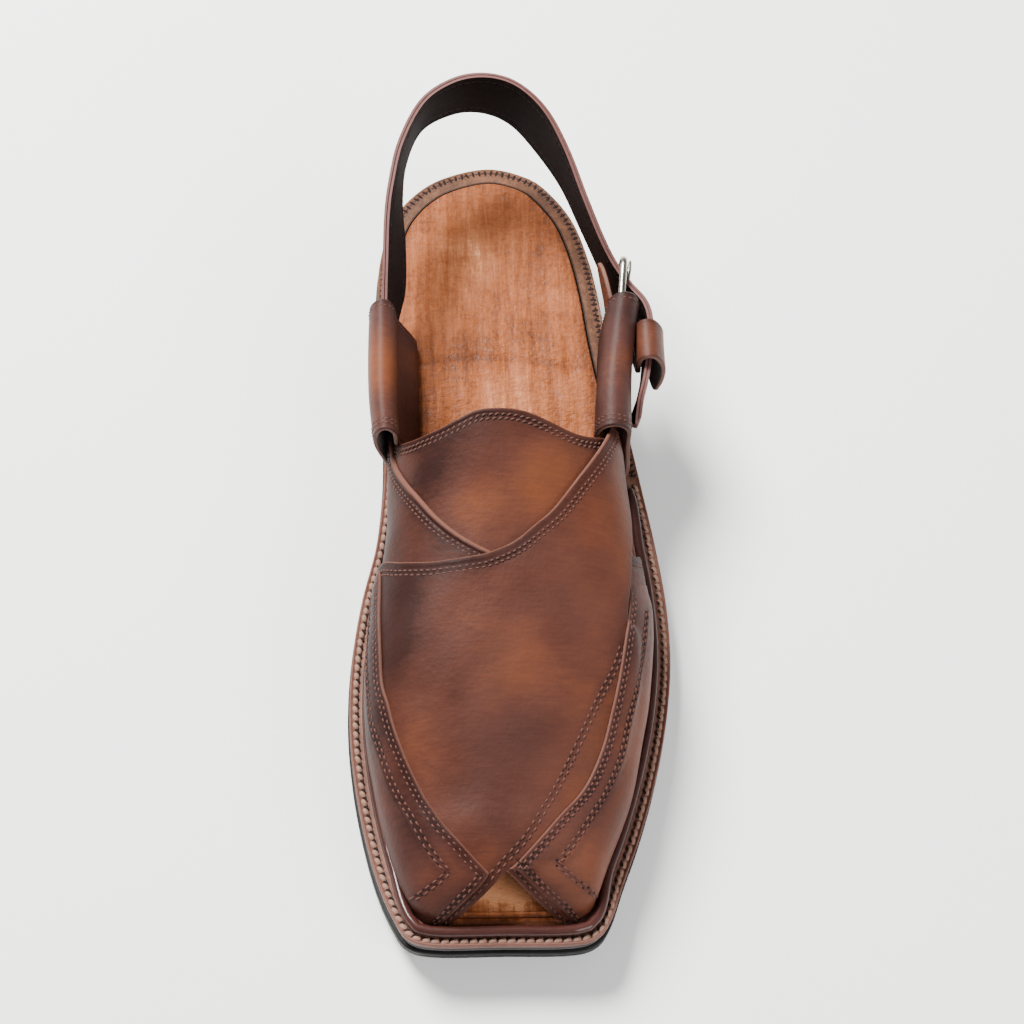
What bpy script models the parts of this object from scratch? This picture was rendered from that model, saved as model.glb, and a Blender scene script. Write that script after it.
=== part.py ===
"""Peshawari chappal, left shoe, men's size EU 46.

Metres, +Z up, toe toward -Y, heel toward +Y, lateral side toward +X.  The origin lies on the floor under
the centre of the heel.  Sizes below are in millimetres and are scaled once, in place().
A "station" is a distance back from the toe tip, measured along the shoe.
"""
import math

import bmesh
import bpy
from mathutils import Vector

MM = 0.001
OBJECT_NAME = "peshawari_chappal"

# ---------------------------------------------------------------- driving dimensions, millimetres
SOLE_LENGTH = 305.6
HEEL_CENTRE = 264.0          # station of the origin
TOUCH = 0.3                  # gap kept where two pieces meet

OUTSOLE_THICK = 6.0
MIDSOLE_THICK = 5.0
WELT_THICK = 3.0
INSOLE_PROUD = 1.2           # insole above the welt
HEEL_LIFT = 12.0             # heel seat above the forefoot
TOE_SPRING = 7.0
SPRING_START = 60.0          # stations where the sole leaves the floor
ARCH_START = 125.0
ARCH_END = 215.0
HEEL_BREAST = 222.0          # station of the heel block's front face

SOLE_EDGE_STEP = 1.2         # height of the worn lower edge of outsole and heel
WELT_SHOWN = 4.5             # width of welt outside the rand
RAND_DIAMETER = 3.6
RAND_END = 170.0             # station where the rand stops at each waist
UPPER_WALL = 2.6
SEAT_RIM = 6.6               # width of the rim around the insole at the heel
FOREFOOT_RIM_END = 147.5     # stations between which the rim narrows to SEAT_RIM
SEAT_RIM_START = 168.0

EAR_WALL = 2.0
STRAP_THICK = 2.4
KEEPER_THICK = 1.8
GUARD_THICK = 1.8
FRAME_WIRE = 2.8
PRONG_WIRE = 1.8

RING_POINTS = 80
CORNER_ROUNDING = 6.0        # radius of the toe corners inside the welt

# Sole edge: half-widths either side of the shoe's axis at each station.
OUTLINE_COLUMNS = ("station", "lateral", "medial")
OUTLINE = (
    (0.0, 22.0, 22.0),
    (2.4, 31.6, 31.4),
    (9.5, 36.9, 36.2),
    (23.0, 42.0, 41.5),
    (40.0, 48.6, 45.8),
    (60.0, 54.9, 49.3),
    (82.0, 60.0, 51.1),
    (105.0, 62.8, 50.2),
    (128.0, 62.4, 46.7),
    (150.0, 59.4, 41.3),
    (174.0, 54.6, 38.5),
    (200.0, 49.4, 38.6),
    (226.0, 45.0, 40.0),
    (250.0, 42.1, 40.6),
    (267.0, 38.9, 38.8),
    (282.0, 34.0, 34.4),
    (294.0, 26.2, 25.4),
    (301.5, 17.6, 14.0),
)
HEEL_TIP = (2.6, SOLE_LENGTH)

# The last, which is the inside of the upper: its height over the welt, the ridge's place across, how far
# the walls bulge past their base, and the squareness of the section (2 is an ellipse).
LAST_COLUMNS = ("station", "height", "ridge", "lateral_bulge", "medial_bulge", "squareness")
LAST = (
    (10.0, 23.5, 0.0, 0.0, 0.0, 2.2),
    (40.0, 26.0, 0.0, 0.6, 0.4, 2.3),
    (65.0, 32.5, -0.5, 1.2, 0.8, 2.3),
    (95.0, 39.5, -1.0, 1.2, 0.8, 2.25),
    (122.0, 44.0, -1.5, 0.8, 1.6, 2.2),
    (145.0, 47.5, -1.5, -0.4, 4.3, 2.1),
    (165.0, 50.0, -1.0, -1.2, 6.7, 2.0),
    (190.0, 51.6, -0.5, -1.6, 7.2, 2.0),
)
TOE_CROWN = 40.0             # station where the toe's front curve reaches its full height
TOE_FIRST_CLIMB = 0.12       # share of that height in the foremost section
WALL_STRAIGHT = 8.0          # the last's walls stand straight this high before they bulge
WIDEST_SHARE = 0.42          # share of a section's height where it is widest
TAB_TOP = 47.0               # top of the upper's tabs inside the ears
UPPER_END = 185.0

# The tongue's free edge at the throat.
THROAT_COLUMNS = ("x", "station")
THROAT = (
    (-37.2, 172.0),
    (-28.4, 169.2),
    (-21.6, 169.4),
    (-11.0, 172.8),
    (-1.0, 174.8),
    (9.0, 173.8),
    (19.6, 170.8),
    (27.6, 169.2),
    (37.4, 171.2),
)

# Cut-outs of the upper: the open point at the toe, and the gap at each waist between vamp and sole.
TOE_OPENING_COLUMNS = ("x", "station")
TOE_OPENING = (
    (-0.6, 19.6),
    (8.6, 15.3),
    (17.0, 10.9),
    (24.0, 5.0),
    (-21.0, 5.0),
    (-14.4, 10.7),
    (-8.2, 14.8),
)
WAIST_GAP_COLUMNS = ("station", "z")
WAIST_GAP = (
    (145.5, 8.0),
    (146.5, 20.0),
    (155.0, 27.0),
    (165.0, 32.5),
    (187.0, 36.5),
    (187.0, 8.0),
)

# Ears: folded leather loops beside the instep.  Distances from the axis of the two bases, the two walls
# and the fold's ridge, then the ridge's height and how far the outer wall's foot is above the welt.
EAR_COLUMNS = ("station", "outer_base", "outer_wall", "ridge", "inner_wall", "inner_base",
               "ridge_height", "foot")
EAR_LATERAL = (
    (174.6, 50.6, 48.2, 41.4, 35.2, 37.6, 61.5, 0.0),
    (190.0, 48.0, 49.0, 42.4, 36.5, 38.2, 62.2, 0.0),
    (206.0, 46.0, 50.4, 44.3, 38.6, 39.5, 62.6, 0.0),
    (220.0, 51.4, 52.4, 46.2, 40.6, 40.5, 62.6, 11.4),
    (229.0, 52.8, 53.8, 47.9, 42.2, 41.6, 62.4, 11.4),
)
EAR_MEDIAL = (
    (172.9, 36.2, 43.0, 38.7, 34.0, 26.2, 61.5, 0.0),
    (190.0, 36.3, 44.2, 39.4, 34.2, 25.8, 62.4, 0.0),
    (208.0, 36.8, 44.6, 39.6, 34.4, 25.6, 62.8, 0.0),
    (225.0, 37.6, 43.8, 39.2, 34.4, 26.0, 62.8, 0.0),
)
FOLD_DEPTH = 8.0             # height of the rounded fold of an ear
EAR_UPRIGHT = 1.5            # height of the straight foot of each ear wall

# Heel strap: its top and bottom edges, from inside the medial ear round the heel, through the buckle and
# forward along the outside of the lateral ear.
STRAP_COLUMNS = ("x_top", "station_top", "z_top", "x_bottom", "station_bottom", "z_bottom")
STRAP = (
    (-38.4, 210.0, 57.2, -35.0, 212.0, 37.4),
    (-38.6, 224.0, 58.4, -34.6, 227.0, 38.0),
    (-38.2, 239.0, 64.0, -31.4, 241.0, 42.4),
    (-37.6, 256.0, 69.5, -31.4, 258.0, 48.0),
    (-36.0, 268.0, 73.2, -32.4, 271.0, 51.8),
    (-32.4, 283.0, 77.0, -31.0, 287.0, 55.4),
    (-24.4, 298.4, 80.2, -24.8, 301.0, 58.4),
    (-13.0, 307.0, 81.2, -12.4, 308.4, 59.2),
    (-1.0, 309.4, 81.2, -0.8, 309.0, 59.2),
    (10.2, 306.0, 80.6, 9.6, 303.8, 58.8),
    (20.2, 296.6, 78.4, 18.8, 293.0, 57.0),
    (27.8, 282.4, 74.4, 28.0, 279.6, 53.4),
    (34.4, 265.6, 68.2, 35.4, 265.2, 47.2),
    (40.6, 252.2, 61.4, 42.0, 252.4, 40.6),
    (45.4, 244.4, 56.6, 45.8, 244.6, 35.4),
    (50.6, 236.4, 55.4, 50.6, 236.6, 34.2),
    (56.0, 228.4, 55.6, 56.4, 228.4, 34.4),
    (57.4, 219.0, 55.8, 57.4, 219.0, 34.6),
    (56.1, 206.0, 55.8, 56.1, 206.0, 34.6),
    (54.2, 196.0, 55.4, 53.5, 196.0, 34.2),
    (52.6, 190.0, 53.0, 51.2, 190.0, 35.8),
    (52.0, 185.5, 48.8, 50.6, 185.5, 39.6),
    (51.8, 184.0, 45.6, 50.9, 184.0, 43.0),
)

# Keeper: the loop's mid line seen from the front.
KEEPER_COLUMNS = ("x", "z")
KEEPER = (
    (53.2, 55.0),
    (55.2, 59.4),
    (58.6, 58.8),
    (61.6, 52.4),
    (61.8, 42.6),
    (59.4, 34.2),
    (55.6, 31.4),
    (53.2, 34.8),
    (53.0, 45.0),
)
KEEPER_STATIONS = (202.6, 218.4)

# Buckle: a rectangular wire frame on edge, its front bar inside the ear's fold.
FRAME_X_FRONT = 46.7
FRAME_X_REAR = 48.9
FRAME_STATIONS = (225.6, 246.6)
FRAME_HEIGHTS = (31.6, 58.0)
PRONG_HEIGHT = 48.0
PRONG_STAND_OFF = 1.1        # how far outside the front bar the prong starts
PRONG_LEAN = 3.9             # how much further out it is at the rear bar
PRONG_PAST_BAR = 4.0
PRONG_PIERCE = 238.2         # station where the prong goes through the strap
STRAP_HOLE_RADIUS = 2.1

# Buckle guard: the flap of leather between the foot and the buckle.
GUARD_COLUMNS = ("station", "x_top", "z_top", "x_bottom", "z_bottom")
GUARD = (
    (229.3, 43.0, 55.6, 43.4, 33.0),
    (236.0, 41.6, 56.8, 42.2, 36.5),
    (242.0, 40.4, 56.4, 41.0, 41.0),
    (246.0, 39.6, 54.0, 40.0, 47.0),
)


# ---------------------------------------------------------------- small helpers
def place(x, station, z):
    """World position of a point given in millimetres, with its station from the toe tip."""
    return Vector((x * MM, (station - HEEL_CENTRE) * MM, z * MM))


def smooth_step(value, start, end):
    t = min(1.0, max(0.0, (value - start) / (end - start)))
    return t * t * (3.0 - 2.0 * t)


def row_values(rows, station):
    """A table's columns read at a station, with a smooth curve through the rows."""
    count = len(rows)
    upper = next((i for i in range(1, count) if rows[i][0] >= station), count - 1)
    lower = upper - 1
    before = rows[max(lower - 1, 0)]
    after = rows[min(upper + 1, count - 1)]
    low, high = rows[lower], rows[upper]
    span = high[0] - low[0]
    t = min(1.0, max(0.0, (station - low[0]) / span))
    values = []
    for column in range(1, len(low)):
        slope_low = (high[column] - before[column]) / (high[0] - before[0]) * span
        slope_high = (after[column] - low[column]) / (after[0] - low[0]) * span
        values.append((2 * t**3 - 3 * t**2 + 1) * low[column] + (t**3 - 2 * t**2 + t) * slope_low
                      + (3 * t**2 - 2 * t**3) * high[column] + (t**3 - t**2) * slope_high)
    return values


def spline(points, steps, closed=False):
    """Catmull-Rom curve through points of any number of coordinates."""
    count = len(points)
    spans = count if closed else count - 1
    curve = []
    for i in range(spans):
        if closed:
            quad = [points[(i + k) % count] for k in (-1, 0, 1, 2)]
        else:
            quad = [points[min(max(i + k, 0), count - 1)] for k in (-1, 0, 1, 2)]
        for step in range(steps):
            t = step / steps
            curve.append(tuple(
                0.5 * (2 * b + (c - a) * t + (2 * a - 5 * b + 4 * c - d) * t**2
                       + (3 * b - a - 3 * c + d) * t**3)
                for a, b, c, d in zip(*quad)))
    if not closed:
        curve.append(tuple(points[-1]))
    return curve


def resample(points, count, closed=False):
    """Points spread evenly along a polyline."""
    line = list(points) + ([points[0]] if closed else [])
    lengths = [0.0]
    for a, b in zip(line, line[1:]):
        lengths.append(lengths[-1] + math.dist(a, b))
    pieces = count if closed else count - 1
    result = []
    segment = 0
    for i in range(count):
        target = lengths[-1] * i / pieces
        while segment < len(line) - 2 and lengths[segment + 1] < target:
            segment += 1
        t = (target - lengths[segment]) / (lengths[segment + 1] - lengths[segment])
        result.append(tuple(a + (b - a) * t for a, b in zip(line[segment], line[segment + 1])))
    return result


def material(name, colour, roughness, metallic=0.0):
    made = bpy.data.materials.new(name)
    made.use_nodes = True
    shader = made.node_tree.nodes["Principled BSDF"]
    shader.inputs["Base Color"].default_value = (*colour, 1.0)
    shader.inputs["Roughness"].default_value = roughness
    shader.inputs["Metallic"].default_value = metallic
    made.diffuse_color = (*colour, 1.0)
    return made


def add_object(name, data, collection, look=None):
    made = bpy.data.objects.new(name, data)
    collection.objects.link(made)
    if look is not None:
        data.materials.append(look)
    return made


def mesh_from_bmesh(name, bm, sharp_angle=35.0):
    bmesh.ops.recalc_face_normals(bm, faces=bm.faces)
    mesh = bpy.data.meshes.new(name)
    bm.to_mesh(mesh)
    bm.free()
    mesh.shade_smooth()
    mesh.set_sharp_from_angle(angle=math.radians(sharp_angle))
    return mesh


def sheet_mesh(name, rows, closed=False):
    """Open surface through rows of points; closed joins the last column to the first."""
    bm = bmesh.new()
    grid = [[bm.verts.new(point) for point in row] for row in rows]
    columns = len(rows[0])
    for above, below in zip(grid, grid[1:]):
        for i in range(columns if closed else columns - 1):
            j = (i + 1) % columns
            bm.faces.new((above[i], above[j], below[j], below[i]))
    mesh = bpy.data.meshes.new(name)
    bm.to_mesh(mesh)
    bm.free()
    mesh.shade_smooth()
    return mesh


def add_shell(name, rows, thickness, collection, look, offset=-1.0, closed=False):
    """A sheet of leather: an open surface with Solidify."""
    shell = add_object(name, sheet_mesh(name, rows, closed), collection, look)
    solid = shell.modifiers.new("wall", "SOLIDIFY")
    solid.thickness = thickness * MM
    solid.offset = offset
    solid.use_even_offset = True
    return shell


def add_wire(name, points, diameter, collection, look, closed=False):
    curve = bpy.data.curves.new(name, "CURVE")
    curve.dimensions = "3D"
    curve.bevel_depth = diameter * MM / 2
    curve.bevel_resolution = 2
    curve.use_fill_caps = not closed
    line = curve.splines.new("POLY")
    line.points.add(len(points) - 1)
    for target, point in zip(line.points, points):
        target.co = (*point, 1.0)
    line.use_cyclic_u = closed
    line.use_smooth = True
    return add_object(name, curve, collection, look)


# ---------------------------------------------------------------- the sole's outline
def outline_curve():
    """The sole's edge from the toe centre round the lateral side, the heel and the medial side."""
    lateral = [(row[1], row[0]) for row in OUTLINE]
    medial = [(-row[2], row[0]) for row in reversed(OUTLINE)]
    control = [(0.0, 0.0)] + lateral + [HEEL_TIP] + medial
    return resample(spline(control, 12, closed=True), 480, closed=True)


EDGE = outline_curve()


def offset_curve(curve, depth):
    """A closed curve moved inward by depth(station), without the loops that sharp corners make."""
    count = len(curve)
    kept = []
    for i, (x, station) in enumerate(curve):
        ahead = curve[(i + 1) % count]
        behind = curve[i - 1]
        along = (ahead[0] - behind[0], ahead[1] - behind[1])
        length = math.hypot(*along)
        amount = depth(station)
        point = (x - along[1] / length * amount, station + along[0] / length * amount)
        nearest = min(math.dist(point, other) for other in curve[i % 2::2])
        if nearest > abs(amount) - 0.25:
            kept.append(point)
    return kept


def inset_curve(inset, rounding=0.0):
    """The sole's edge moved inward; inset is a number or a function of the station."""
    depth = inset if callable(inset) else (lambda station: inset)
    curve = offset_curve(EDGE, lambda station: depth(station) + rounding)
    if rounding:
        curve = offset_curve(resample(curve, 360, closed=True), lambda station: -rounding)
    return curve


def ring(inset, rounding=0.0):
    return resample(inset_curve(inset, rounding), RING_POINTS, closed=True)


# ---------------------------------------------------------------- heights along the shoe
def sole_rise(station):
    """Height of the outsole's underside: toe spring, flat tread, arch and heel seat."""
    spring = TOE_SPRING * max(0.0, (SPRING_START - station) / SPRING_START) ** 1.8
    return spring + HEEL_LIFT * smooth_step(station, ARCH_START, ARCH_END)


MIDSOLE_BASE = OUTSOLE_THICK + TOUCH
WELT_BASE = MIDSOLE_BASE + MIDSOLE_THICK + TOUCH
WELT_TOP = WELT_BASE + WELT_THICK
INSOLE_TOP = WELT_TOP + INSOLE_PROUD


def welt_level(station):
    return sole_rise(station) + WELT_TOP


def welt_inner(station):
    """Width of the welt: under the rand in the forefoot, a plain rim round the heel."""
    forefoot = WELT_SHOWN + RAND_DIAMETER
    return forefoot + (SEAT_RIM - forefoot) * smooth_step(station, FOREFOOT_RIM_END, SEAT_RIM_START)


def insole_inset(station):
    """The insole clears the upper's wall in the forefoot and the welt at the heel."""
    forefoot = WELT_SHOWN + RAND_DIAMETER + UPPER_WALL + 5 * TOUCH
    seat = SEAT_RIM + TOUCH
    return forefoot + (seat - forefoot) * smooth_step(station, FOREFOOT_RIM_END, SEAT_RIM_START)


# ---------------------------------------------------------------- sole pieces
def layer_mesh(name, levels, rounding=0.0):
    """A sole layer lofted through levels of (inset, height above the rise), capped by rungs."""
    bm = bmesh.new()
    loops = []
    for inset, height in levels:
        points = ring(inset, rounding)
        loops.append([bm.verts.new(place(x, s, sole_rise(s) + height)) for x, s in points])
    for lower, upper in zip(loops, loops[1:]):
        for i in range(RING_POINTS):
            j = (i + 1) % RING_POINTS
            bm.faces.new((lower[i], lower[j], upper[j], upper[i]))
    half = RING_POINTS // 2
    for loop in (loops[0], loops[-1]):
        bm.faces.new((loop[0], loop[1], loop[-1]))
        for i in range(1, half - 1):
            bm.faces.new((loop[i], loop[i + 1], loop[-i - 1], loop[-i]))
        bm.faces.new((loop[half - 1], loop[half], loop[-half + 1]))
    return mesh_from_bmesh(name, bm)


def make_outsole(collection):
    look = material("outsole_rubber", (0.022, 0.022, 0.024), 0.7)
    proud = 0.5
    levels = ((SOLE_EDGE_STEP - proud, 0.0), (-proud, SOLE_EDGE_STEP), (-proud, OUTSOLE_THICK))
    return add_object("outsole", layer_mesh("outsole", levels), collection, look)


def make_midsole(collection):
    look = material("midsole_leather", (0.16, 0.07, 0.04), 0.6)
    recess = 0.9
    levels = ((recess, MIDSOLE_BASE), (recess, MIDSOLE_BASE + MIDSOLE_THICK))
    return add_object("midsole", layer_mesh("midsole", levels), collection, look)


def make_insole(collection):
    look = material("insole_leather", (0.50, 0.24, 0.12), 0.55)
    edge = 0.7
    levels = (
        (insole_inset, WELT_BASE),
        (insole_inset, INSOLE_TOP - edge),
        (lambda station: insole_inset(station) + edge, INSOLE_TOP),
    )
    return add_object("insole", layer_mesh("insole", levels, CORNER_ROUNDING), collection, look)


def make_welt(collection):
    """The stitched strip round the whole sole, open in the middle for insole and upper."""
    look = material("welt_leather", (0.35, 0.17, 0.10), 0.6)
    edge = 0.6
    levels = (
        (0.0, 0.0, WELT_BASE),
        (0.0, 0.0, WELT_TOP - edge),
        (edge, 0.0, WELT_TOP),
        (welt_inner, CORNER_ROUNDING, WELT_TOP),
        (welt_inner, CORNER_ROUNDING, WELT_BASE),
    )
    bm = bmesh.new()
    loops = [[bm.verts.new(place(x, s, sole_rise(s) + height)) for x, s in ring(inset, rounding)]
             for inset, rounding, height in levels]
    for lower, upper in zip(loops, loops[1:] + loops[:1]):
        for i in range(RING_POINTS):
            j = (i + 1) % RING_POINTS
            bm.faces.new((lower[i], lower[j], upper[j], upper[i]))
    return add_object("welt", mesh_from_bmesh("welt", bm), collection, look)


def make_heel(collection):
    """The rubber heel block: the outsole's outline behind the breast, down to the floor."""
    look = material("heel_rubber", (0.020, 0.020, 0.022), 0.75)
    recess = 1.0
    edge = resample(inset_curve(recess), 2 * RING_POINTS, closed=True)
    rear = [point for point in edge if point[1] > HEEL_BREAST]
    lateral_front = (rear[0][0], HEEL_BREAST)
    medial_front = (rear[-1][0], HEEL_BREAST)
    outline = [lateral_front] + rear[1:-1] + [medial_front]
    half_width = lateral_front[0]
    bm = bmesh.new()
    loops = []
    for shrink, height in ((SOLE_EDGE_STEP, 0.0), (0.0, SOLE_EDGE_STEP), (0.0, HEEL_LIFT - TOUCH)):
        scale = 1.0 - shrink / half_width
        loops.append([bm.verts.new(place(x * scale, HEEL_CENTRE + (s - HEEL_CENTRE) * scale, height))
                      for x, s in outline])
    count = len(outline)
    for lower, upper in zip(loops, loops[1:]):
        for i in range(count):
            j = (i + 1) % count
            bm.faces.new((lower[i], lower[j], upper[j], upper[i]))
    bm.faces.new(loops[0])
    bm.faces.new(loops[-1])
    return add_object("heel", mesh_from_bmesh("heel", bm), collection, look)


def make_rand(collection):
    """Rolled leather cord along the upper's base, from waist to waist round the toe."""
    look = material("rand_leather", (0.15, 0.05, 0.04), 0.4)
    line = inset_curve(lambda station: welt_inner(station) - RAND_DIAMETER / 2, CORNER_ROUNDING)
    lateral = [point for point in line[:len(line) // 2] if point[1] < RAND_END]
    medial = [point for point in line[len(line) // 2:] if point[1] < RAND_END]
    points = resample(medial + lateral, 64)
    lift = RAND_DIAMETER / 2 + TOUCH
    return add_wire("rand", [place(x, s, welt_level(s) + lift) for x, s in points],
                    RAND_DIAMETER, collection, look)


# ---------------------------------------------------------------- the upper
LAST_INSET = WELT_SHOWN + RAND_DIAMETER + 2 * TOUCH + UPPER_WALL
LAST_BASE_LINE = inset_curve(LAST_INSET, CORNER_ROUNDING)


def base_half_widths(station):
    """Distance of the last's base from the axis, lateral then medial."""
    half = len(LAST_BASE_LINE) // 2
    sides = (LAST_BASE_LINE[:half], [(-x, s) for x, s in reversed(LAST_BASE_LINE[half:])])
    widths = []
    for side in sides:
        rows = [(s, x) for x, s in side if s < 230.0]
        rows = [row for i, row in enumerate(rows) if i == 0 or row[0] > rows[i - 1][0] + 0.01]
        after = next(i for i, row in enumerate(rows) if row[0] >= station)
        before = max(after - 1, 0)
        if after == before:
            widths.append(rows[0][1])
            continue
        t = (station - rows[before][0]) / (rows[after][0] - rows[before][0])
        widths.append(rows[before][1] + (rows[after][1] - rows[before][1]) * t)
    return widths


def half_section(base, bulge, ridge, bottom, top, squareness):
    """Points up one wall of the last, from its base to just before the ridge."""
    height = top - bottom
    straight = bottom + min(WALL_STRAIGHT, 0.3 * height)
    widest = bottom + WIDEST_SHARE * height
    wide = base + bulge
    points = [(base, bottom), (base, straight), (base + 0.7 * bulge, (straight + widest) / 2)]
    steps = 8
    for step in range(steps):
        angle = math.pi / 2 * step / steps
        reach = math.cos(angle) ** (2 / squareness)
        climb = math.sin(angle) ** (2 / squareness)
        points.append((ridge + (wide - ridge) * reach, widest + (top - widest) * climb))
    return points


def upper_row(station, climb):
    """One section of the upper; climb is the share of its full height reached behind the toe."""
    height, ridge, lateral_bulge, medial_bulge, squareness = row_values(LAST, station)
    bottom = sole_rise(station) + WELT_BASE + TOUCH
    top = bottom + (welt_level(station) + height - bottom) * climb
    lateral, medial = base_half_widths(station)
    right = half_section(lateral, lateral_bulge, ridge, bottom, top, squareness)
    left = half_section(medial, medial_bulge, -ridge, bottom, top, squareness)
    points = right + [(ridge, top)] + [(-x, z) for x, z in reversed(left)]
    return [place(x, station, z) for x, z in points]


def prism_cutter(name, outline, low, high, collection, axis="Z"):
    """A closed prism; outline is in (x, station) along Z, or (station, z) along X."""
    bm = bmesh.new()
    if axis == "Z":
        ends = [[bm.verts.new(place(x, s, level)) for x, s in outline] for level in (low, high)]
    else:
        ends = [[bm.verts.new(place(level, s, z)) for s, z in outline] for level in (low, high)]
    count = len(outline)
    for i in range(count):
        j = (i + 1) % count
        bm.faces.new((ends[0][i], ends[0][j], ends[1][j], ends[1][i]))
    bm.faces.new(ends[0])
    bm.faces.new(ends[1])
    cutter = add_object(name, mesh_from_bmesh(name, bm), collection)
    cutter.hide_render = True
    cutter.display_type = "WIRE"
    return cutter


def cut(target, cutter):
    boolean = target.modifiers.new("cut_" + cutter.name, "BOOLEAN")
    boolean.operation = "DIFFERENCE"
    boolean.solver = "EXACT"
    boolean.object = cutter


def make_upper(collection, cutters):
    """Vamp and tongue as one hollow shell: open below, at the toe, at the throat and at the waist."""
    look = material("upper_leather", (0.19, 0.065, 0.03), 0.38)
    front = LAST_INSET + TOUCH
    rows = []
    toe_steps = 6
    for step in range(toe_steps):
        angle = math.pi / 2 * step / toe_steps
        station = front + (TOE_CROWN - front) * (1.0 - math.cos(angle))
        rows.append(upper_row(station, max(TOE_FIRST_CLIMB, math.sin(angle))))
    body_steps = 15
    for step in range(body_steps + 1):
        station = TOE_CROWN + (UPPER_END - TOE_CROWN) * step / body_steps
        rows.append(upper_row(station, 1.0))
    upper = add_shell("upper", rows, UPPER_WALL, collection, look, offset=-1.0)

    above = 95.0
    below = 5.0
    cut(upper, prism_cutter("toe_notch", TOE_OPENING, below, above, cutters))

    past = UPPER_END + 8.0
    throat = spline(THROAT, 4) + [(THROAT[-1][0], past), (THROAT[0][0], past)]
    cut(upper, prism_cutter("throat", throat, below, above, cutters))
    beside = 70.0
    for name, inner, outer in (("lateral_tab", THROAT[-1], beside), ("medial_tab", THROAT[0], -beside)):
        tab_start = inner[1] + TOUCH
        over_tab = [(tab_start, TAB_TOP), (past + 1.0, TAB_TOP), (past + 1.0, above), (tab_start, above)]
        low, high = sorted((inner[0] * 0.9, outer))
        cut(upper, prism_cutter(name, over_tab, low, high, cutters, axis="X"))
    cut(upper, prism_cutter("lateral_slit", WAIST_GAP, 20.0, beside, cutters, axis="X"))
    cut(upper, prism_cutter("medial_slit", WAIST_GAP, -beside, -20.0, cutters, axis="X"))
    return upper


# ---------------------------------------------------------------- ears
def ear_section(values, side, outer_floor, inner_floor):
    """An ear's outer surface from the outer base over the fold to the inner base."""
    outer_base, outer_wall, ridge, inner_wall, inner_base, ridge_height, foot = values
    outer_floor += max(0.0, foot)
    shoulder = ridge_height - FOLD_DEPTH
    rise_steps = 4
    points = [(outer_base, outer_floor)]
    for step in range(rise_steps):
        t = step / rise_steps
        x = outer_base + (outer_wall - outer_base) * smooth_step(t, 0.0, 1.0)
        points.append((x, outer_floor + EAR_UPRIGHT + (shoulder - outer_floor - EAR_UPRIGHT) * t))
    fold_steps = 5
    for step in range(fold_steps):
        angle = math.pi / 2 * step / fold_steps
        x = ridge + (outer_wall - ridge) * math.cos(angle)
        points.append((x, shoulder + FOLD_DEPTH * math.sin(angle)))
    for step in range(fold_steps + 1):
        angle = math.pi / 2 * (1.0 - step / fold_steps)
        x = ridge + (inner_wall - ridge) * math.cos(angle)
        points.append((x, shoulder + FOLD_DEPTH * math.sin(angle)))
    for step in range(1, rise_steps + 1):
        t = 1.0 - step / rise_steps
        x = inner_base + (inner_wall - inner_base) * smooth_step(t, 0.0, 1.0)
        points.append((x, inner_floor + EAR_UPRIGHT + (shoulder - inner_floor - EAR_UPRIGHT) * t))
    points.append((inner_base, inner_floor))
    return [(side * x, z) for x, z in points]


def make_ear(name, table, side, collection):
    look = material(name + "_leather", (0.17, 0.055, 0.028), 0.35)
    stations = [row[0] for row in table]
    rows = []
    steps = 9
    for step in range(steps + 1):
        station = stations[0] + (stations[-1] - stations[0]) * step / steps
        outer_floor = welt_level(station) + TOUCH
        inner_floor = sole_rise(station) + INSOLE_TOP + TOUCH
        section = ear_section(row_values(table, station), side, outer_floor, inner_floor)
        rows.append([place(x, station, z) for x, z in section])
    return add_shell(name, rows, EAR_WALL, collection, look, offset=side)


# ---------------------------------------------------------------- strap, keeper, guard and buckle
def make_heel_strap(collection, cutters):
    look = material("strap_leather", (0.12, 0.045, 0.03), 0.45)
    edges = resample(spline(STRAP, 10), 56)
    widths = 3
    rows = []
    for x_top, s_top, z_top, x_low, s_low, z_low in edges:
        top = place(x_top, s_top, z_top)
        low = place(x_low, s_low, z_low)
        rows.append([top.lerp(low, step / widths) for step in range(widths + 1)])
    strap = add_shell("heel_strap", rows, STRAP_THICK, collection, look, offset=0.0)

    bm = bmesh.new()
    radius = STRAP_HOLE_RADIUS * MM
    bmesh.ops.create_cone(bm, cap_ends=True, segments=16, radius1=radius, radius2=radius, depth=12 * MM)
    hole = add_object("strap_hole", mesh_from_bmesh("strap_hole", bm), cutters)
    hole.location = place(*prong_point(PRONG_PIERCE))
    hole.rotation_euler = (math.radians(90), 0, 0)
    hole.hide_render = True
    hole.display_type = "WIRE"
    cut(strap, hole)
    return strap


def make_keeper(collection):
    look = material("keeper_leather", (0.24, 0.09, 0.04), 0.4)
    loop = resample(spline(KEEPER, 6, closed=True), 28, closed=True)
    steps = 2
    rows = []
    for step in range(steps + 1):
        station = KEEPER_STATIONS[0] + (KEEPER_STATIONS[1] - KEEPER_STATIONS[0]) * step / steps
        rows.append([place(x, station, z) for x, z in loop])
    return add_shell("keeper", rows, KEEPER_THICK, collection, look, offset=0.0, closed=True)


def make_buckle_guard(collection):
    look = material("guard_leather", (0.26, 0.07, 0.04), 0.6)
    rows = []
    for station, x_top, z_top, x_low, z_low in GUARD:
        top = place(x_top, station, z_top)
        low = place(x_low, station, z_low)
        rows.append([top.lerp(low, step / 3) for step in range(4)])
    return add_shell("buckle_guard", rows, GUARD_THICK, collection, look, offset=0.0)


def prong_point(station):
    """The prong's mid line, from the frame's front bar out over its rear bar."""
    start, end = FRAME_STATIONS
    t = (station - start) / (end - start)
    return (FRAME_X_FRONT + PRONG_STAND_OFF + PRONG_LEAN * t, station, PRONG_HEIGHT)


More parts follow.
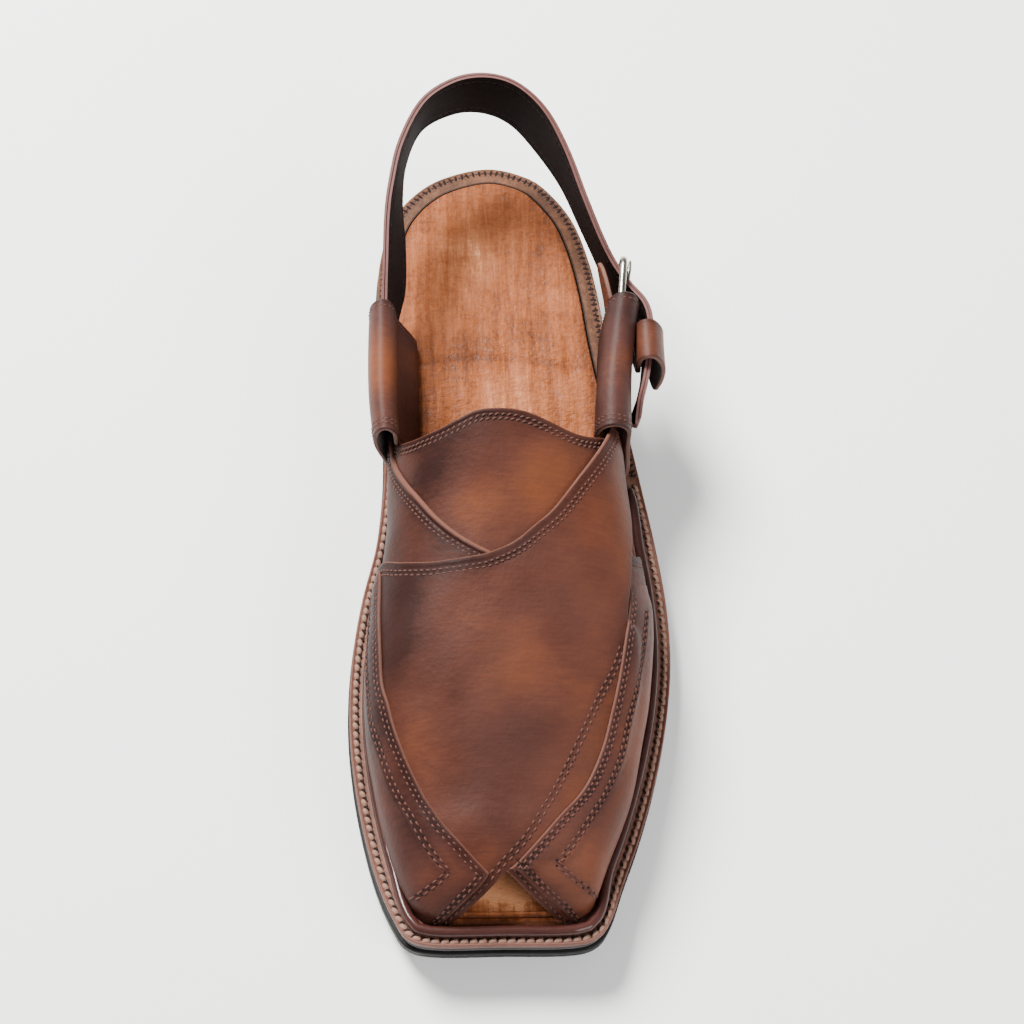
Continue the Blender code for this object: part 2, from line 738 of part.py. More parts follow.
def make_buckle_frame(collection):
    look = material("buckle_metal", (0.62, 0.60, 0.55), 0.3, 1.0)
    low, high = FRAME_HEIGHTS
    front, rear = FRAME_STATIONS
    radius = 4.0
    corner_steps = 5
    corners = ((rear, high, 0), (front, high, 90), (front, low, 180), (rear, low, 270))
    points = []
    for station, height, start in corners:
        centre_s = station - radius if station == rear else station + radius
        centre_z = height - radius if height == high else height + radius
        for step in range(corner_steps + 1):
            angle = math.radians(start + 90 * step / corner_steps)
            s = centre_s + radius * math.cos(angle)
            t = (s - front) / (rear - front)
            x = FRAME_X_FRONT + (FRAME_X_REAR - FRAME_X_FRONT) * t
            points.append(place(x, s, centre_z + radius * math.sin(angle)))
    return add_wire("buckle_frame", points, FRAME_WIRE, collection, look, closed=True)


def make_buckle_prong(collection):
    """A wire prong: an open eye round the front bar, then straight out over the rear bar."""
    look = material("prong_metal", (0.62, 0.60, 0.55), 0.3, 1.0)
    front, rear = FRAME_STATIONS
    eye = FRAME_WIRE / 2 + PRONG_WIRE / 2 + TOUCH
    points = []
    eye_steps = 9
    eye_start = 340.0
    eye_sweep = 265.0
    for step in range(eye_steps + 1):
        angle = math.radians(eye_start - eye_sweep * step / eye_steps)
        points.append(place(FRAME_X_FRONT + eye * math.sin(angle - math.pi / 2),
                            front + eye * math.cos(angle - math.pi / 2), PRONG_HEIGHT))
    start = front + PRONG_PAST_BAR
    end = rear + PRONG_PAST_BAR
    straight_steps = 4
    for step in range(straight_steps + 1):
        points.append(place(*prong_point(start + (end - start) * step / straight_steps)))
    return add_wire("buckle_prong", points, PRONG_WIRE, collection, look)


# ---------------------------------------------------------------- assembly
def main():
    for old in list(bpy.data.objects):
        bpy.data.objects.remove(old, do_unlink=True)
    parts = bpy.data.collections.new(OBJECT_NAME)
    cutters = bpy.data.collections.new("cutters")
    bpy.context.scene.collection.children.link(parts)
    bpy.context.scene.collection.children.link(cutters)

    make_outsole(parts)
    make_heel(parts)
    make_midsole(parts)
    make_welt(parts)
    make_insole(parts)
    make_rand(parts)
    make_upper(parts, cutters)
    make_ear("ear_lateral", EAR_LATERAL, 1.0, parts)
    make_ear("ear_medial", EAR_MEDIAL, -1.0, parts)
    make_heel_strap(parts, cutters)
    make_keeper(parts)
    make_buckle_guard(parts)
    make_buckle_frame(parts)
    make_buckle_prong(parts)


main()
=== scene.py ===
"""Peshawari chappal, left shoe: the leather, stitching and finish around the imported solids.

Sizes are in millimetres and are scaled once, in add_piece().  A station is a distance back from the toe tip.
The upper's pieces are laid out as a shoemaker's patterns: "reach" runs back along the ridge of the last from
the feather line at the toe, and "girth" runs across it from the ridge, positive toward the lateral side.
"""
import math

import bmesh
import bpy
import numpy as np
from mathutils import Matrix, Vector, geometry


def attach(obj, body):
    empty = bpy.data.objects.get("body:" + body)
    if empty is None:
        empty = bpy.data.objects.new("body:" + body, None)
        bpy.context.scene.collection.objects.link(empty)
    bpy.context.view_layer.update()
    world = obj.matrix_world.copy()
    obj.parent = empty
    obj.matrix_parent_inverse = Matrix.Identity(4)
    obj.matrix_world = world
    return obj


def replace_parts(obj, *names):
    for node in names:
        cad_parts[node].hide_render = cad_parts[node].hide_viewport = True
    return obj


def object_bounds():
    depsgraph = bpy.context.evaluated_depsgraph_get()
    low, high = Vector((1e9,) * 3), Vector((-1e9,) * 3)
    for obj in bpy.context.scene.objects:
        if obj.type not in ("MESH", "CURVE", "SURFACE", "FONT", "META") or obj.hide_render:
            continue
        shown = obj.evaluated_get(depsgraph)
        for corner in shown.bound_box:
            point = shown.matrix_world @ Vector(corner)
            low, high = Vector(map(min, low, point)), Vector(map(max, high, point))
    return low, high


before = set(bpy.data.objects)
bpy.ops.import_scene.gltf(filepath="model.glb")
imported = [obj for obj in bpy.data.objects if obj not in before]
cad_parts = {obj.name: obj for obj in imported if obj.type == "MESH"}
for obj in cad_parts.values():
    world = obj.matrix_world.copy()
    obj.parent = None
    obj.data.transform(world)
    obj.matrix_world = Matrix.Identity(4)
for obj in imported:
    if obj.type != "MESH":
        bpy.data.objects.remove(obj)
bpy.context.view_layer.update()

MM = 0.001
HEEL_CENTRE = 264.0

# ---------------- sizes shared with the solids
SOLE_LENGTH = 305.6
TOUCH = 0.3
HEEL_LIFT = 12.0
TOE_SPRING = 7.0
SPRING_START = 60.0
ARCH_START = 125.0
ARCH_END = 215.0
HEEL_BREAST = 222.0
MIDSOLE_BASE = 6.3
WELT_BASE = 11.6
WELT_TOP = 14.6
INSOLE_TOP = 15.8
WELT_SHOWN = 4.5
RAND_DIAMETER = 3.6
RAND_END = 170.0
UPPER_WALL = 2.6
SEAT_RIM = 6.6
FOREFOOT_RIM_END = 147.5
SEAT_RIM_START = 168.0
CORNER_ROUNDING = 6.0
TOE_CROWN = 40.0
LAST_INSET = WELT_SHOWN + RAND_DIAMETER + 2 * TOUCH + UPPER_WALL
LAST_FRONT = LAST_INSET + TOUCH

# station, lateral and medial half-widths of the sole
OUTLINE = (
    (0, 22, 22), (2.4, 31.6, 31.4), (9.5, 36.9, 36.2), (23, 42, 41.5), (40, 48.6, 45.8), (60, 54.9, 49.3),
    (82, 60, 51.1), (105, 62.8, 50.2), (128, 62.4, 46.7), (150, 59.4, 41.3), (174, 54.6, 38.5),
    (200, 49.4, 38.6), (226, 45, 40), (250, 42.1, 40.6), (267, 38.9, 38.8), (282, 34, 34.4),
    (294, 26.2, 25.4), (301.5, 17.6, 14),
)
HEEL_TIP = (2.6, SOLE_LENGTH)

# station, height over the welt, ridge place, lateral bulge, medial bulge, squareness of the section
LAST = (
    (10, 23.5, 0, 0, 0, 2.2), (40, 26, 0, 0.6, 0.4, 2.3), (65, 32.5, -0.5, 1.2, 0.8, 2.3),
    (95, 39.5, -1, 1.2, 0.8, 2.25), (122, 44, -1.5, 0.8, 1.6, 2.2), (145, 47.5, -1.5, -0.4, 4.3, 2.1),
    (165, 50, -1, -1.2, 6.7, 2), (190, 51.6, -0.5, -1.6, 7.2, 2),
)
WALL_STRAIGHT = 8.0
WIDEST_SHARE = 0.42


# ---------------- curves and tables
def unit(vectors):
    return vectors / np.linalg.norm(vectors, axis=-1, keepdims=True)


def left_of(directions):
    """Flat directions turned a quarter to the left."""
    return np.stack([-directions[:, 1], directions[:, 0]], axis=-1)


def smooth_step(value, start, end):
    t = np.clip((np.asarray(value, float) - start) / (end - start), 0.0, 1.0)
    return t * t * (3.0 - 2.0 * t)


def hump(value, rise, fade):
    """0 to 1 over the first pair of values, and back to 0 over the second."""
    return smooth_step(value, *rise) * (1.0 - smooth_step(value, *fade))


def row_values(rows, station):
    """A table's columns read at a station, with a smooth curve through the rows."""
    table = np.asarray(rows, float)
    stations, values = table[:, 0], table[:, 1:]
    last = len(table) - 1
    upper = min(max(1, int(np.searchsorted(stations, station))), last)
    lower = upper - 1
    before, after = max(lower - 1, 0), min(upper + 1, last)
    span = stations[upper] - stations[lower]
    t = float(min(1.0, max(0.0, (station - stations[lower]) / span)))
    slope_low = (values[upper] - values[before]) / (stations[upper] - stations[before]) * span
    slope_high = (values[after] - values[lower]) / (stations[after] - stations[lower]) * span
    return ((2 * t**3 - 3 * t**2 + 1) * values[lower] + (t**3 - 2 * t**2 + t) * slope_low
            + (3 * t**2 - 2 * t**3) * values[upper] + (t**3 - t**2) * slope_high)


def spline(points, steps, closed=False):
    """Catmull-Rom curve through points, as an array."""
    p = np.asarray(points, float)
    count = len(p)
    index = np.arange(count if closed else count - 1)
    places = [(index + k) % count if closed else np.clip(index + k, 0, count - 1) for k in (-1, 0, 1, 2)]
    a, b, c, d = [p[place][:, None, :] for place in places]
    t = (np.arange(steps) / steps)[None, :, None]
    curve = 0.5 * (2 * b + (c - a) * t + (2 * a - 5 * b + 4 * c - d) * t**2
                   + (3 * b - a - 3 * c + d) * t**3)
    curve = curve.reshape(-1, p.shape[1])
    return curve if closed else np.vstack([curve, p[-1]])


def lengths_along(points):
    return np.concatenate([[0.0], np.cumsum(np.linalg.norm(np.diff(points, axis=0), axis=1))])


def resample(points, count, closed=False):
    """Points spread evenly along a polyline."""
    line = np.asarray(points, float)
    if closed:
        line = np.vstack([line, line[0]])
    along = lengths_along(line)
    targets = np.linspace(0.0, along[-1], count + 1)[:-1] if closed else np.linspace(0.0, along[-1], count)
    return np.stack([np.interp(targets, along, line[:, k]) for k in range(line.shape[1])], axis=-1)


def evenly(points, step):
    """A polyline with points about step apart."""
    total = lengths_along(np.asarray(points, float))[-1]
    return resample(points, max(2, int(round(total / step)) + 1))


def shift_line(line, amount):
    """An open line moved sideways, to its left when amount is positive."""
    line = np.asarray(line, float)
    return line + left_of(unit(np.gradient(line, axis=0))) * amount


def distance_to(points, line):
    """Distance from each point to the nearest point of a finely sampled line."""
    result = np.empty(len(points))
    batch = 2000
    for start in range(0, len(points), batch):
        part = points[start:start + batch]
        gap = part[:, None, :] - line[None, :, :]
        result[start:start + batch] = np.sqrt(np.min(np.einsum("ijk,ijk->ij", gap, gap), axis=1))
    return result


# ---------------- the sole's outline and heights
def outline_curve():
    lateral = [(row[1], row[0]) for row in OUTLINE]
    medial = [(-row[2], row[0]) for row in reversed(OUTLINE)]
    return resample(spline([(0.0, 0.0)] + lateral + [HEEL_TIP] + medial, 12, True), 480, True)


EDGE = outline_curve()
LOOP_MARGIN = 0.25
TOE_BLEND = (7.0, 26.0)


def offset_curve(curve, depth):
    """A closed curve moved inward by depth(station), without the loops that sharp corners make."""
    along = unit(np.roll(curve, -1, axis=0) - np.roll(curve, 1, axis=0))
    amount = depth(curve[:, 1])
    moved = curve + left_of(along) * amount[:, None]
    nearest = np.array([np.min(np.hypot(*(curve - point).T)) for point in moved])
    return moved[nearest > np.abs(amount) - LOOP_MARGIN]


def inset_curve(inset, rounding=0.0, count=480):
    """The sole's edge moved inward; inset is a number or a function of the station."""
    depth = inset if callable(inset) else (lambda station: np.full(np.shape(station), float(inset)))
    curve = offset_curve(EDGE, lambda station: depth(station) + rounding)
    if rounding:
        curve = offset_curve(resample(curve, 360, True),
                             lambda station: np.full(np.shape(station), -float(rounding)))
    return resample(curve, count, True)


def sole_rise(station):
    station = np.asarray(station, float)
    spring = TOE_SPRING * np.maximum(0.0, (SPRING_START - station) / SPRING_START) ** 1.8
    return spring + HEEL_LIFT * smooth_step(station, ARCH_START, ARCH_END)


def welt_level(station):
    return sole_rise(station) + WELT_TOP


def rim(station, forefoot, seat):
    """An inset that changes at the waist from the forefoot's to the seat's."""
    return forefoot + (seat - forefoot) * smooth_step(station, FOREFOOT_RIM_END, SEAT_RIM_START)


def welt_inner(station):
    return rim(station, WELT_SHOWN + RAND_DIAMETER, SEAT_RIM)


def insole_inset(station):
    return rim(station, WELT_SHOWN + RAND_DIAMETER + UPPER_WALL + 5 * TOUCH, SEAT_RIM + TOUCH)


def toe_share(station):
    """1 across the toe, where the welt is narrower and the rand further forward; 0 behind it."""
    return 1.0 - smooth_step(station, *TOE_BLEND)


# ---------------- surfaces that leather lies on
LATERAL_SLACK = 2.0
# where the slack sets in and ends: above the feather line, and along the reach
SLACK_HEIGHTS = ((0.0, 9.0), (28.0, 46.0))
SLACK_REACHES = ((45.0, 75.0), (150.0, 175.0))
TOE_RAND_SHIFT = 1.8
TOE_SHIFT_HEIGHT = 4.0
REACH_START = 2.0
REACH_END = 196.0
REACH_STEP = 1.0
SIDE_COLUMNS = 90
QUARTER_STEPS = 10
SECTION_STEPS = 8


def read_grid(grid, row, column):
    """A grid's values between its rows and columns."""
    i, j = row.astype(int), column.astype(int)
    fi, fj = (row - i)[:, None], (column - j)[:, None]
    return ((grid[i, j] * (1 - fi) + grid[i + 1, j] * fi) * (1 - fj)
            + (grid[i, j + 1] * (1 - fi) + grid[i + 1, j + 1] * fi) * fj)


def grid_normals(grid):
    return unit(np.cross(np.gradient(grid, axis=1), np.gradient(grid, axis=0)))


def two_arrays(a, b):
    return np.atleast_1d(np.asarray(a, float)), np.atleast_1d(np.asarray(b, float))


class Surface:
    """A grid of points and normals; place() gives the row and the column of two coordinates."""

    def at(self, across, along, height=0.0):
        """Points in millimetres (x, station, z) and unit normals, a height above the surface."""
        row, column = self.place(*two_arrays(across, along))
        normal = unit(read_grid(self.normals, row, column))
        return read_grid(self.points, row, column) + normal * np.reshape(height, (-1, 1)), normal


class GridSurface(Surface):
    """A surface through rows of points; "along" counts millimetres down the rows, "across" along a row."""

    def __init__(self, grid, flip=False):
        self.points = np.asarray(grid, float)
        self.normals = grid_normals(self.points) * (-1.0 if flip else 1.0)
        self.along = lengths_along(self.points[:, self.points.shape[1] // 2])
        self.across = np.array([lengths_along(row) for row in self.points])
        self.length = self.along[-1]

    def width(self, along):
        return np.interp(along, self.along, self.across[:, -1])

    def place(self, across, along):
        rows, columns = self.points.shape[:2]
        row = np.clip(np.interp(along, self.along, np.arange(rows)), 0.0, rows - 1.001)
        near = self.across[row.astype(int)]
        share = np.array([np.interp(a, line, np.arange(columns)) for a, line in zip(across, near)])
        return row, np.clip(share, 0.0, columns - 1.001)


class FlatSurface:
    """A level surface over (x, station), for the insole and the welt."""

    def __init__(self, level):
        self.level = level

    def at(self, x, station, height=0.0):
        x, station = two_arrays(x, station)
        z = sole_rise(station) + self.level + height
        return np.stack([x, station, z], axis=-1), np.tile((0.0, 0.0, 1.0), (len(x), 1))


def last_sides():
    """Half-widths of the last's base on each side, as (stations, widths)."""
    line = inset_curve(LAST_INSET, CORNER_ROUNDING)
    sides = []
    for sign in (1.0, -1.0):
        part = line[(line[:, 0] * sign > 0.0) & (line[:, 1] < 235.0)]
        part = part[np.argsort(part[:, 1])]
        sides.append((part[:, 1], part[:, 0] * sign))
    return sides


LAST_SIDES = last_sides()


def toe_shape(reach):
    """Station and share of the full height at a reach; behind the toe crown they are reach and 1."""
    if reach >= TOE_CROWN:
        return reach, 1.0
    angle = math.pi / 2 * reach / TOE_CROWN
    return LAST_FRONT + (TOE_CROWN - LAST_FRONT) * (1.0 - math.cos(angle)), math.sin(angle)


def half_section(base, bulge, ridge, bottom, top, squareness):
    height = top - bottom
    straight = bottom + min(WALL_STRAIGHT, 0.3 * height)
    widest = bottom + WIDEST_SHARE * height
    wide = base + bulge
    points = [(base, bottom), (base, straight), (base + 0.7 * bulge, (straight + widest) / 2)]
    for step in range(QUARTER_STEPS):
        angle = math.pi / 2 * step / QUARTER_STEPS
        reach = math.cos(angle) ** (2 / squareness)
        climb = math.sin(angle) ** (2 / squareness)
        points.append((ridge + (wide - ridge) * reach, widest + (top - widest) * climb))
    return points


def last_section(reach):
    """A section's points from the lateral base over the ridge to the medial base, evenly on each side."""
    station, climb = toe_shape(reach)
    height, ridge, lateral_bulge, medial_bulge, squareness = row_values(LAST, station)
    bottom = float(sole_rise(station)) + WELT_BASE + TOUCH
    top = bottom + (float(welt_level(station)) + height - bottom) * climb
    widths = [float(np.interp(station, *side)) for side in LAST_SIDES]
    right = half_section(widths[0], lateral_bulge, ridge, bottom, top, squareness)
    left = half_section(widths[1], medial_bulge, -ridge, bottom, top, squareness)
    curve = spline(right + [(ridge, top)] + [(-x, z) for x, z in reversed(left)], SECTION_STEPS)
    middle = len(right) * SECTION_STEPS
    lateral = resample(curve[:middle + 1], SIDE_COLUMNS + 1)
    medial = resample(curve[middle:], SIDE_COLUMNS + 1)
    girths = (lengths_along(lateral)[-1], lengths_along(medial)[-1])
    section = np.vstack([lateral, medial[1:]])
    return np.column_stack([section[:, 0], np.full(len(section), station), section[:, 1]]), girths


class LastSurface(Surface):
    """The outside of the upper's wall as a grid over girth ("across") and reach ("along")."""

    def __init__(self):
        self.reaches = np.arange(REACH_START, REACH_END + REACH_STEP / 2, REACH_STEP)
        sections = [last_section(reach) for reach in self.reaches]
        inner = np.array([section for section, _ in sections])
        self.girths = np.array([girths for _, girths in sections])
        normals = grid_normals(inner)
        if normals[100, SIDE_COLUMNS, 2] < 0.0:
            normals = -normals
        self.normals = normals
        above = inner[:, :, 2] - sole_rise(inner[:, :, 1]) - WELT_TOP
        flare = (TOE_RAND_SHIFT * toe_share(inner[:, :, 1])
                 * np.exp(-np.maximum(above, 0.0) / TOE_SHIFT_HEIGHT))
        self.points = inner + normals * UPPER_WALL
        self.points = self.points + normals * self.lateral_slack()[:, :, None]
        self.points = self.points + normals * (1.0, 1.0, 0.0) * flare[:, :, None]

    def lateral_slack(self):
        """How far the lateral wall lies inside the last's width, so that the rand shows beyond it."""
        share = np.clip(np.arange(2 * SIDE_COLUMNS + 1) / SIDE_COLUMNS, 0.0, 1.0)
        wall = hump(self.girths[:, :1] * share[None, :], *SLACK_HEIGHTS)
        return -LATERAL_SLACK * wall * hump(self.reaches, *SLACK_REACHES)[:, None]

    def side_girth(self, girth, reach):
        """Girth from the ridge to the feather line, on the side where a girth lies."""
        lateral, medial = [np.interp(reach, self.reaches, self.girths[:, k]) for k in (0, 1)]
        return np.where(np.asarray(girth) >= 0.0, lateral, medial)

    def place(self, girth, reach):
        row = np.clip((reach - REACH_START) / REACH_STEP, 0.0, len(self.reaches) - 1.001)
        share = np.clip(girth / self.side_girth(girth, reach), -1.0, 1.0)
        return row, np.clip((1.0 - share) * SIDE_COLUMNS, 0.0, 2 * SIDE_COLUMNS - 0.001)


SURFACE = LastSurface()


# ---------------- meshes
SHEET_EDGE_DROP = 0.7
SHEET_EDGE_BURNISH = 0.55
SHEET_EDGE_REACH = 2.0


def add_piece(name, points, faces, looks, indices=None, attributes=None, sharp=35.0):
    """A mesh object from points in millimetres (x, station, z) that rides on the shoe."""
    mesh = bpy.data.meshes.new(name)
    places = (np.asarray(points, float) - (0.0, HEEL_CENTRE, 0.0)) * MM
    mesh.from_pydata(places.tolist(), [], faces)
    for look in looks:
        mesh.materials.append(LOOKS[look])
    if indices is not None:
        mesh.polygons.foreach_set("material_index", indices)
    for label, values in (attributes or {}).items():
        layer = mesh.attributes.new(label, "FLOAT", "POINT")
        layer.data.foreach_set("value", np.asarray(values, np.float32))
    mesh.shade_smooth()
    mesh.set_sharp_from_angle(angle=math.radians(sharp))
    mesh.validate()
    bm = bmesh.new()
    bm.from_mesh(mesh)
    bmesh.ops.recalc_face_normals(bm, faces=bm.faces)
    bm.to_mesh(mesh)
    bm.free()
    piece = bpy.data.objects.new(name, mesh)
    bpy.context.scene.collection.objects.link(piece)
    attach(piece, "root")
    return piece


def grid_faces(rows, columns, wrap_rows=False, wrap_columns=False, start=0):
    faces = []
    for i in range(rows if wrap_rows else rows - 1):
        for j in range(columns if wrap_columns else columns - 1):
            here, below = start + i * columns, start + (i + 1) % rows * columns
            ahead = (j + 1) % columns
            faces.append((here + j, here + ahead, below + ahead, below + j))
    return faces


def add_tube(name, points, radius, sides, look, closed=False):
    """A round bar along points; radius may be one number or one for each point."""
    line = np.asarray(points, float)
    count = len(line)
    radii = np.broadcast_to(np.asarray(radius, float), (count,))
    if closed:
        tangents = unit(np.roll(line, -1, axis=0) - np.roll(line, 1, axis=0))
    else:
        tangents = unit(np.gradient(line, axis=0))
    side = np.cross(tangents, (0.0, 0.0, 1.0))
    weak = np.linalg.norm(side, axis=1) < 0.2
    side[weak] = np.cross(tangents[weak], (1.0, 0.0, 0.0))
    side = unit(side)
    for i in range(1, count):
        side[i] = unit(side[i - 1] - np.dot(side[i - 1], tangents[i]) * tangents[i])
    up = np.cross(side, tangents)
    angles = np.linspace(0.0, 2 * math.pi, sides, endpoint=False)
    circle = (side[:, None, :] * np.cos(angles)[None, :, None]
              + up[:, None, :] * np.sin(angles)[None, :, None])
    rings = line[:, None, :] + circle * radii[:, None, None]
    faces = grid_faces(count, sides, wrap_rows=closed, wrap_columns=True)
    if not closed:
        faces += [tuple(reversed(range(sides))), tuple(range((count - 1) * sides, count * sides))]
    return add_piece(name, rings.reshape(-1, 3), faces, [look])


def add_sheet(name, surface, top, bottom, looks, slot, rounding=0.45, closed=False, tone=None,
              grooves=(), end_grooves=()):
    """A strip of leather over a GridSurface between two heights, with rounded cut edges.

    grooves are (distance from the long edges, depth, half_width); end_grooves run across the ends.
    """
    rows, columns = surface.points.shape[:2]
    sides = np.minimum(surface.across, surface.across[:, -1:] - surface.across)
    along = np.minimum(surface.along, surface.length - surface.along)[:, None]
    edge = np.broadcast_to(along, (rows, columns)) if closed else np.minimum(sides, along)
    share = np.clip(1.0 - edge / rounding, 0.0, 1.0)
    lift = -rounding * SHEET_EDGE_DROP * (1.0 - np.sqrt(1.0 - share ** 2))
    for distances, rows_of_grooves in ((sides, grooves), (along, end_grooves)):
        for distance, depth, half_width in rows_of_grooves:
            lift = lift - depth * np.clip(1.0 - ((distances - distance) / half_width) ** 2, 0.0, 1.0)
    over = surface.points + surface.normals * (top + lift)[:, :, None]
    under = surface.points + surface.normals * (bottom - lift)[:, :, None]
    count = rows * columns
    faces = grid_faces(rows, columns, wrap_columns=closed)
    marks = [0] * len(faces)
    lower = [tuple(reversed(face)) for face in grid_faces(rows, columns, wrap_columns=closed, start=count)]
    faces += lower
    marks += [2 if len(looks) > 2 else 0] * len(lower)
    last = count - columns
    if closed:
        border = [[row + j % columns for j in range(columns + 1)] for row in (0, last)]
    else:
        border = [list(range(columns)) + list(range(2 * columns - 1, count, columns))
                  + list(range(count - 2, last - 1, -1)) + list(range(last - columns, -1, -columns))]
    for loop in border:
        faces += [(a, a + count, b + count, b) for a, b in zip(loop, loop[1:])]
        marks += [1 if len(looks) > 1 else 0] * (len(loop) - 1)
    tones = np.zeros(count) if tone is None else tone.ravel()
    burnish_and_shade = (SHEET_EDGE_BURNISH * np.exp(-edge / SHEET_EDGE_REACH)).ravel()
    attributes = {"burnish_and_shade": np.tile(burnish_and_shade, 2), "tone": np.tile(tones, 2)}
    return add_piece(name, np.vstack([over.reshape(-1, 3), under.reshape(-1, 3)]), faces, looks,
                     marks, attributes)


# ---------------- panels cut from flat leather
EDGE_STEP = 0.9
PANEL_GRID = 1.7
UNDER_GRID = 4.0
ROW_SPACING = 0.87
LINE_CLEARANCE = 0.25
GRID_CLEARANCE = 0.6
RIM_DEPTHS = (0.3, 0.75)
RIM_CLEARANCE = 0.24
GROOVE_STEP = 0.85
SEAM_STEP = 0.4
CUT_DEPTH = 0.45
RAW_WIDTH = 0.45
LIP_BLEND = 0.3
EDGE_BURNISH = (0.7, 3.0)
SEAM_BURNISH = (0.5, 1.6)
UNDER_BURNISH = 0.4
FAR = 50.0


def inside(points, outline):
    x, y = points[:, 0][:, None], points[:, 1][:, None]
    ax, ay = outline[:, 0][None, :], outline[:, 1][None, :]
    following = np.roll(outline, -1, axis=0)
    bx, by = following[:, 0][None, :], following[:, 1][None, :]
    crosses = (ay > y) != (by > y)
    with np.errstate(divide="ignore", invalid="ignore"):
        at_x = ax + (y - ay) / (by - ay) * (bx - ax)
    return np.count_nonzero(crosses & (x < at_x), axis=1) % 2 == 1


def join_edges(edges):
    """One closed outline from edges that share their corners."""
    return np.vstack([np.asarray(edge, float)[:-1] for edge in edges])


def fill_outline(outline, grid, lines):
    """Triangles inside an outline: its own points, a grid, and points along the given lines."""
    low, high = outline.min(axis=0), outline.max(axis=0)
    across, along = np.meshgrid(np.arange(low[0], high[0], grid),
                                np.arange(low[1], high[1], grid * ROW_SPACING))
    across = across + (np.arange(across.shape[0]) % 2)[:, None] * grid / 2
    candidates = np.stack([across.ravel(), along.ravel()], axis=-1)
    near = [outline]
    for line in lines:
        line = line[inside(line, outline)]
        near.append(line[distance_to(line, outline) > LINE_CLEARANCE])
    near = np.vstack(near)
    candidates = candidates[inside(candidates, outline)]
    candidates = candidates[distance_to(candidates, near) > GRID_CLEARANCE * grid]
    points = [Vector(point) for point in np.vstack([near, candidates])]
    result = geometry.delaunay_2d_cdt(points, [], [list(range(len(outline)))], 1, 1e-5)
    vertices = np.array([(v.x, v.y) for v in result[0]])
    place = {old: new for new, olds in enumerate(result[3]) for old in olds}
    return vertices, [tuple(face) for face in result[2]], [place[i] for i in range(len(outline))]


def slight_wave(x, y):
    return np.sin(x * 0.17 + 0.6) * np.sin(y * 0.13 + 1.1) + 0.6 * np.sin(x * 0.31 - y * 0.22)


def add_panel(name, surface, outline, layer, looks, slot, grooves=(), lips=(), rounding=0.8,
              tone=None, waves=0.12, grid=PANEL_GRID, free=None):
    """A leather panel on a surface between the two heights of a layer.

    grooves are (line, depth, half_width); lips are (line, width) where the cut edge's colour shows.
    free is the line of its visible cut edges, rounded and burnished; the whole outline if not given.
    """
    closed = np.vstack([outline, outline[:1]])
    lines = [shift_line(closed, sign * depth) for depth in RIM_DEPTHS for sign in (1.0, -1.0)]
    lines = [line[distance_to(line, outline) > RIM_CLEARANCE] for line in lines]
    for line, _, half_width in grooves:
        fine = evenly(line, GROOVE_STEP)
        lines += [fine, shift_line(fine, half_width), shift_line(fine, -half_width)]
    for line, width in lips:
        fine = evenly(line, GROOVE_STEP)
        lines += [shift_line(fine, width), shift_line(fine, -width)]
    flat, faces, rim_points = fill_outline(outline, grid, lines)
    x, y = flat.T
    edge = distance_to(flat, outline if free is None else free)
    share = np.clip(1.0 - edge / rounding, 0.0, 1.0)
    low, high = layer(x, y)
    drop = (high - low) * CUT_DEPTH * (1.0 - np.sqrt(1.0 - share ** 2))
    seam = np.full(len(flat), FAR)
    for line, depth, half_width in grooves:
        gap = distance_to(flat, evenly(line, SEAM_STEP))
        seam = np.minimum(seam, gap)
        drop = drop + depth * np.clip(1.0 - (gap / half_width) ** 2, 0.0, 1.0)
    raw = np.clip(1.0 - edge / RAW_WIDTH, 0.0, 1.0)
    for line, width in lips:
        gap = distance_to(flat, evenly(line, SEAM_STEP))
        raw = np.maximum(raw, np.clip((width - gap) / LIP_BLEND, 0.0, 1.0))
    burnish_and_shade = sum(amount * np.exp(-gap / size)
                  for gap, (amount, size) in ((edge, EDGE_BURNISH), (seam, SEAM_BURNISH)))
    colour = np.zeros(len(flat)) if tone is None else tone(x, y)
    over, _ = surface.at(x, y, high - drop + waves * slight_wave(x, y))
    under_flat, under_faces, under_rim = fill_outline(outline, UNDER_GRID, [])
    x, y = under_flat.T
    under, _ = surface.at(x, y, layer(x, y)[0] + waves * slight_wave(x, y))
    count = len(over)
    all_faces = faces + [tuple(count + i for i in reversed(face)) for face in under_faces]
    marks = [0] * len(faces) + [2 if len(looks) > 2 else 0] * len(under_faces)
    corners = list(zip(rim_points, under_rim))
    for (a, under_a), (b, under_b) in zip(corners, corners[1:] + corners[:1]):
        if a != b:
            all_faces.append((a, count + under_a, count + under_b, b))
            marks.append(1)
    below = np.zeros(len(under))
    attributes = {
        "raw": np.concatenate([raw, below]),
        "burnish_and_shade": np.concatenate([burnish_and_shade, below + UNDER_BURNISH]),
        "tone": np.concatenate([colour, below]),
    }
    return add_piece(name, np.vstack([over, under]), all_faces, looks, marks, attributes)


# ---------------- stitches
# share of the length, size and rise of each ring of a stitch
ROUND_STITCH = ((0.0, 0.35, -0.8), (0.22, 0.9, 0.1), (0.5, 1.0, 0.4), (0.78, 0.9, 0.1), (1.0, 0.35, -0.8))
BLUNT_STITCH = ((0.0, 0.72, -0.45), (0.14, 0.95, -0.1), (0.5, 1.0, 0.0), (0.86, 0.95, -0.1),
                (1.0, 0.72, -0.45))
THICK_THREAD = 0.5
AIM = 0.3
HOLE_CORNERS = 7
HOLE_RISE = 0.1
HOLE_SINK = 0.05


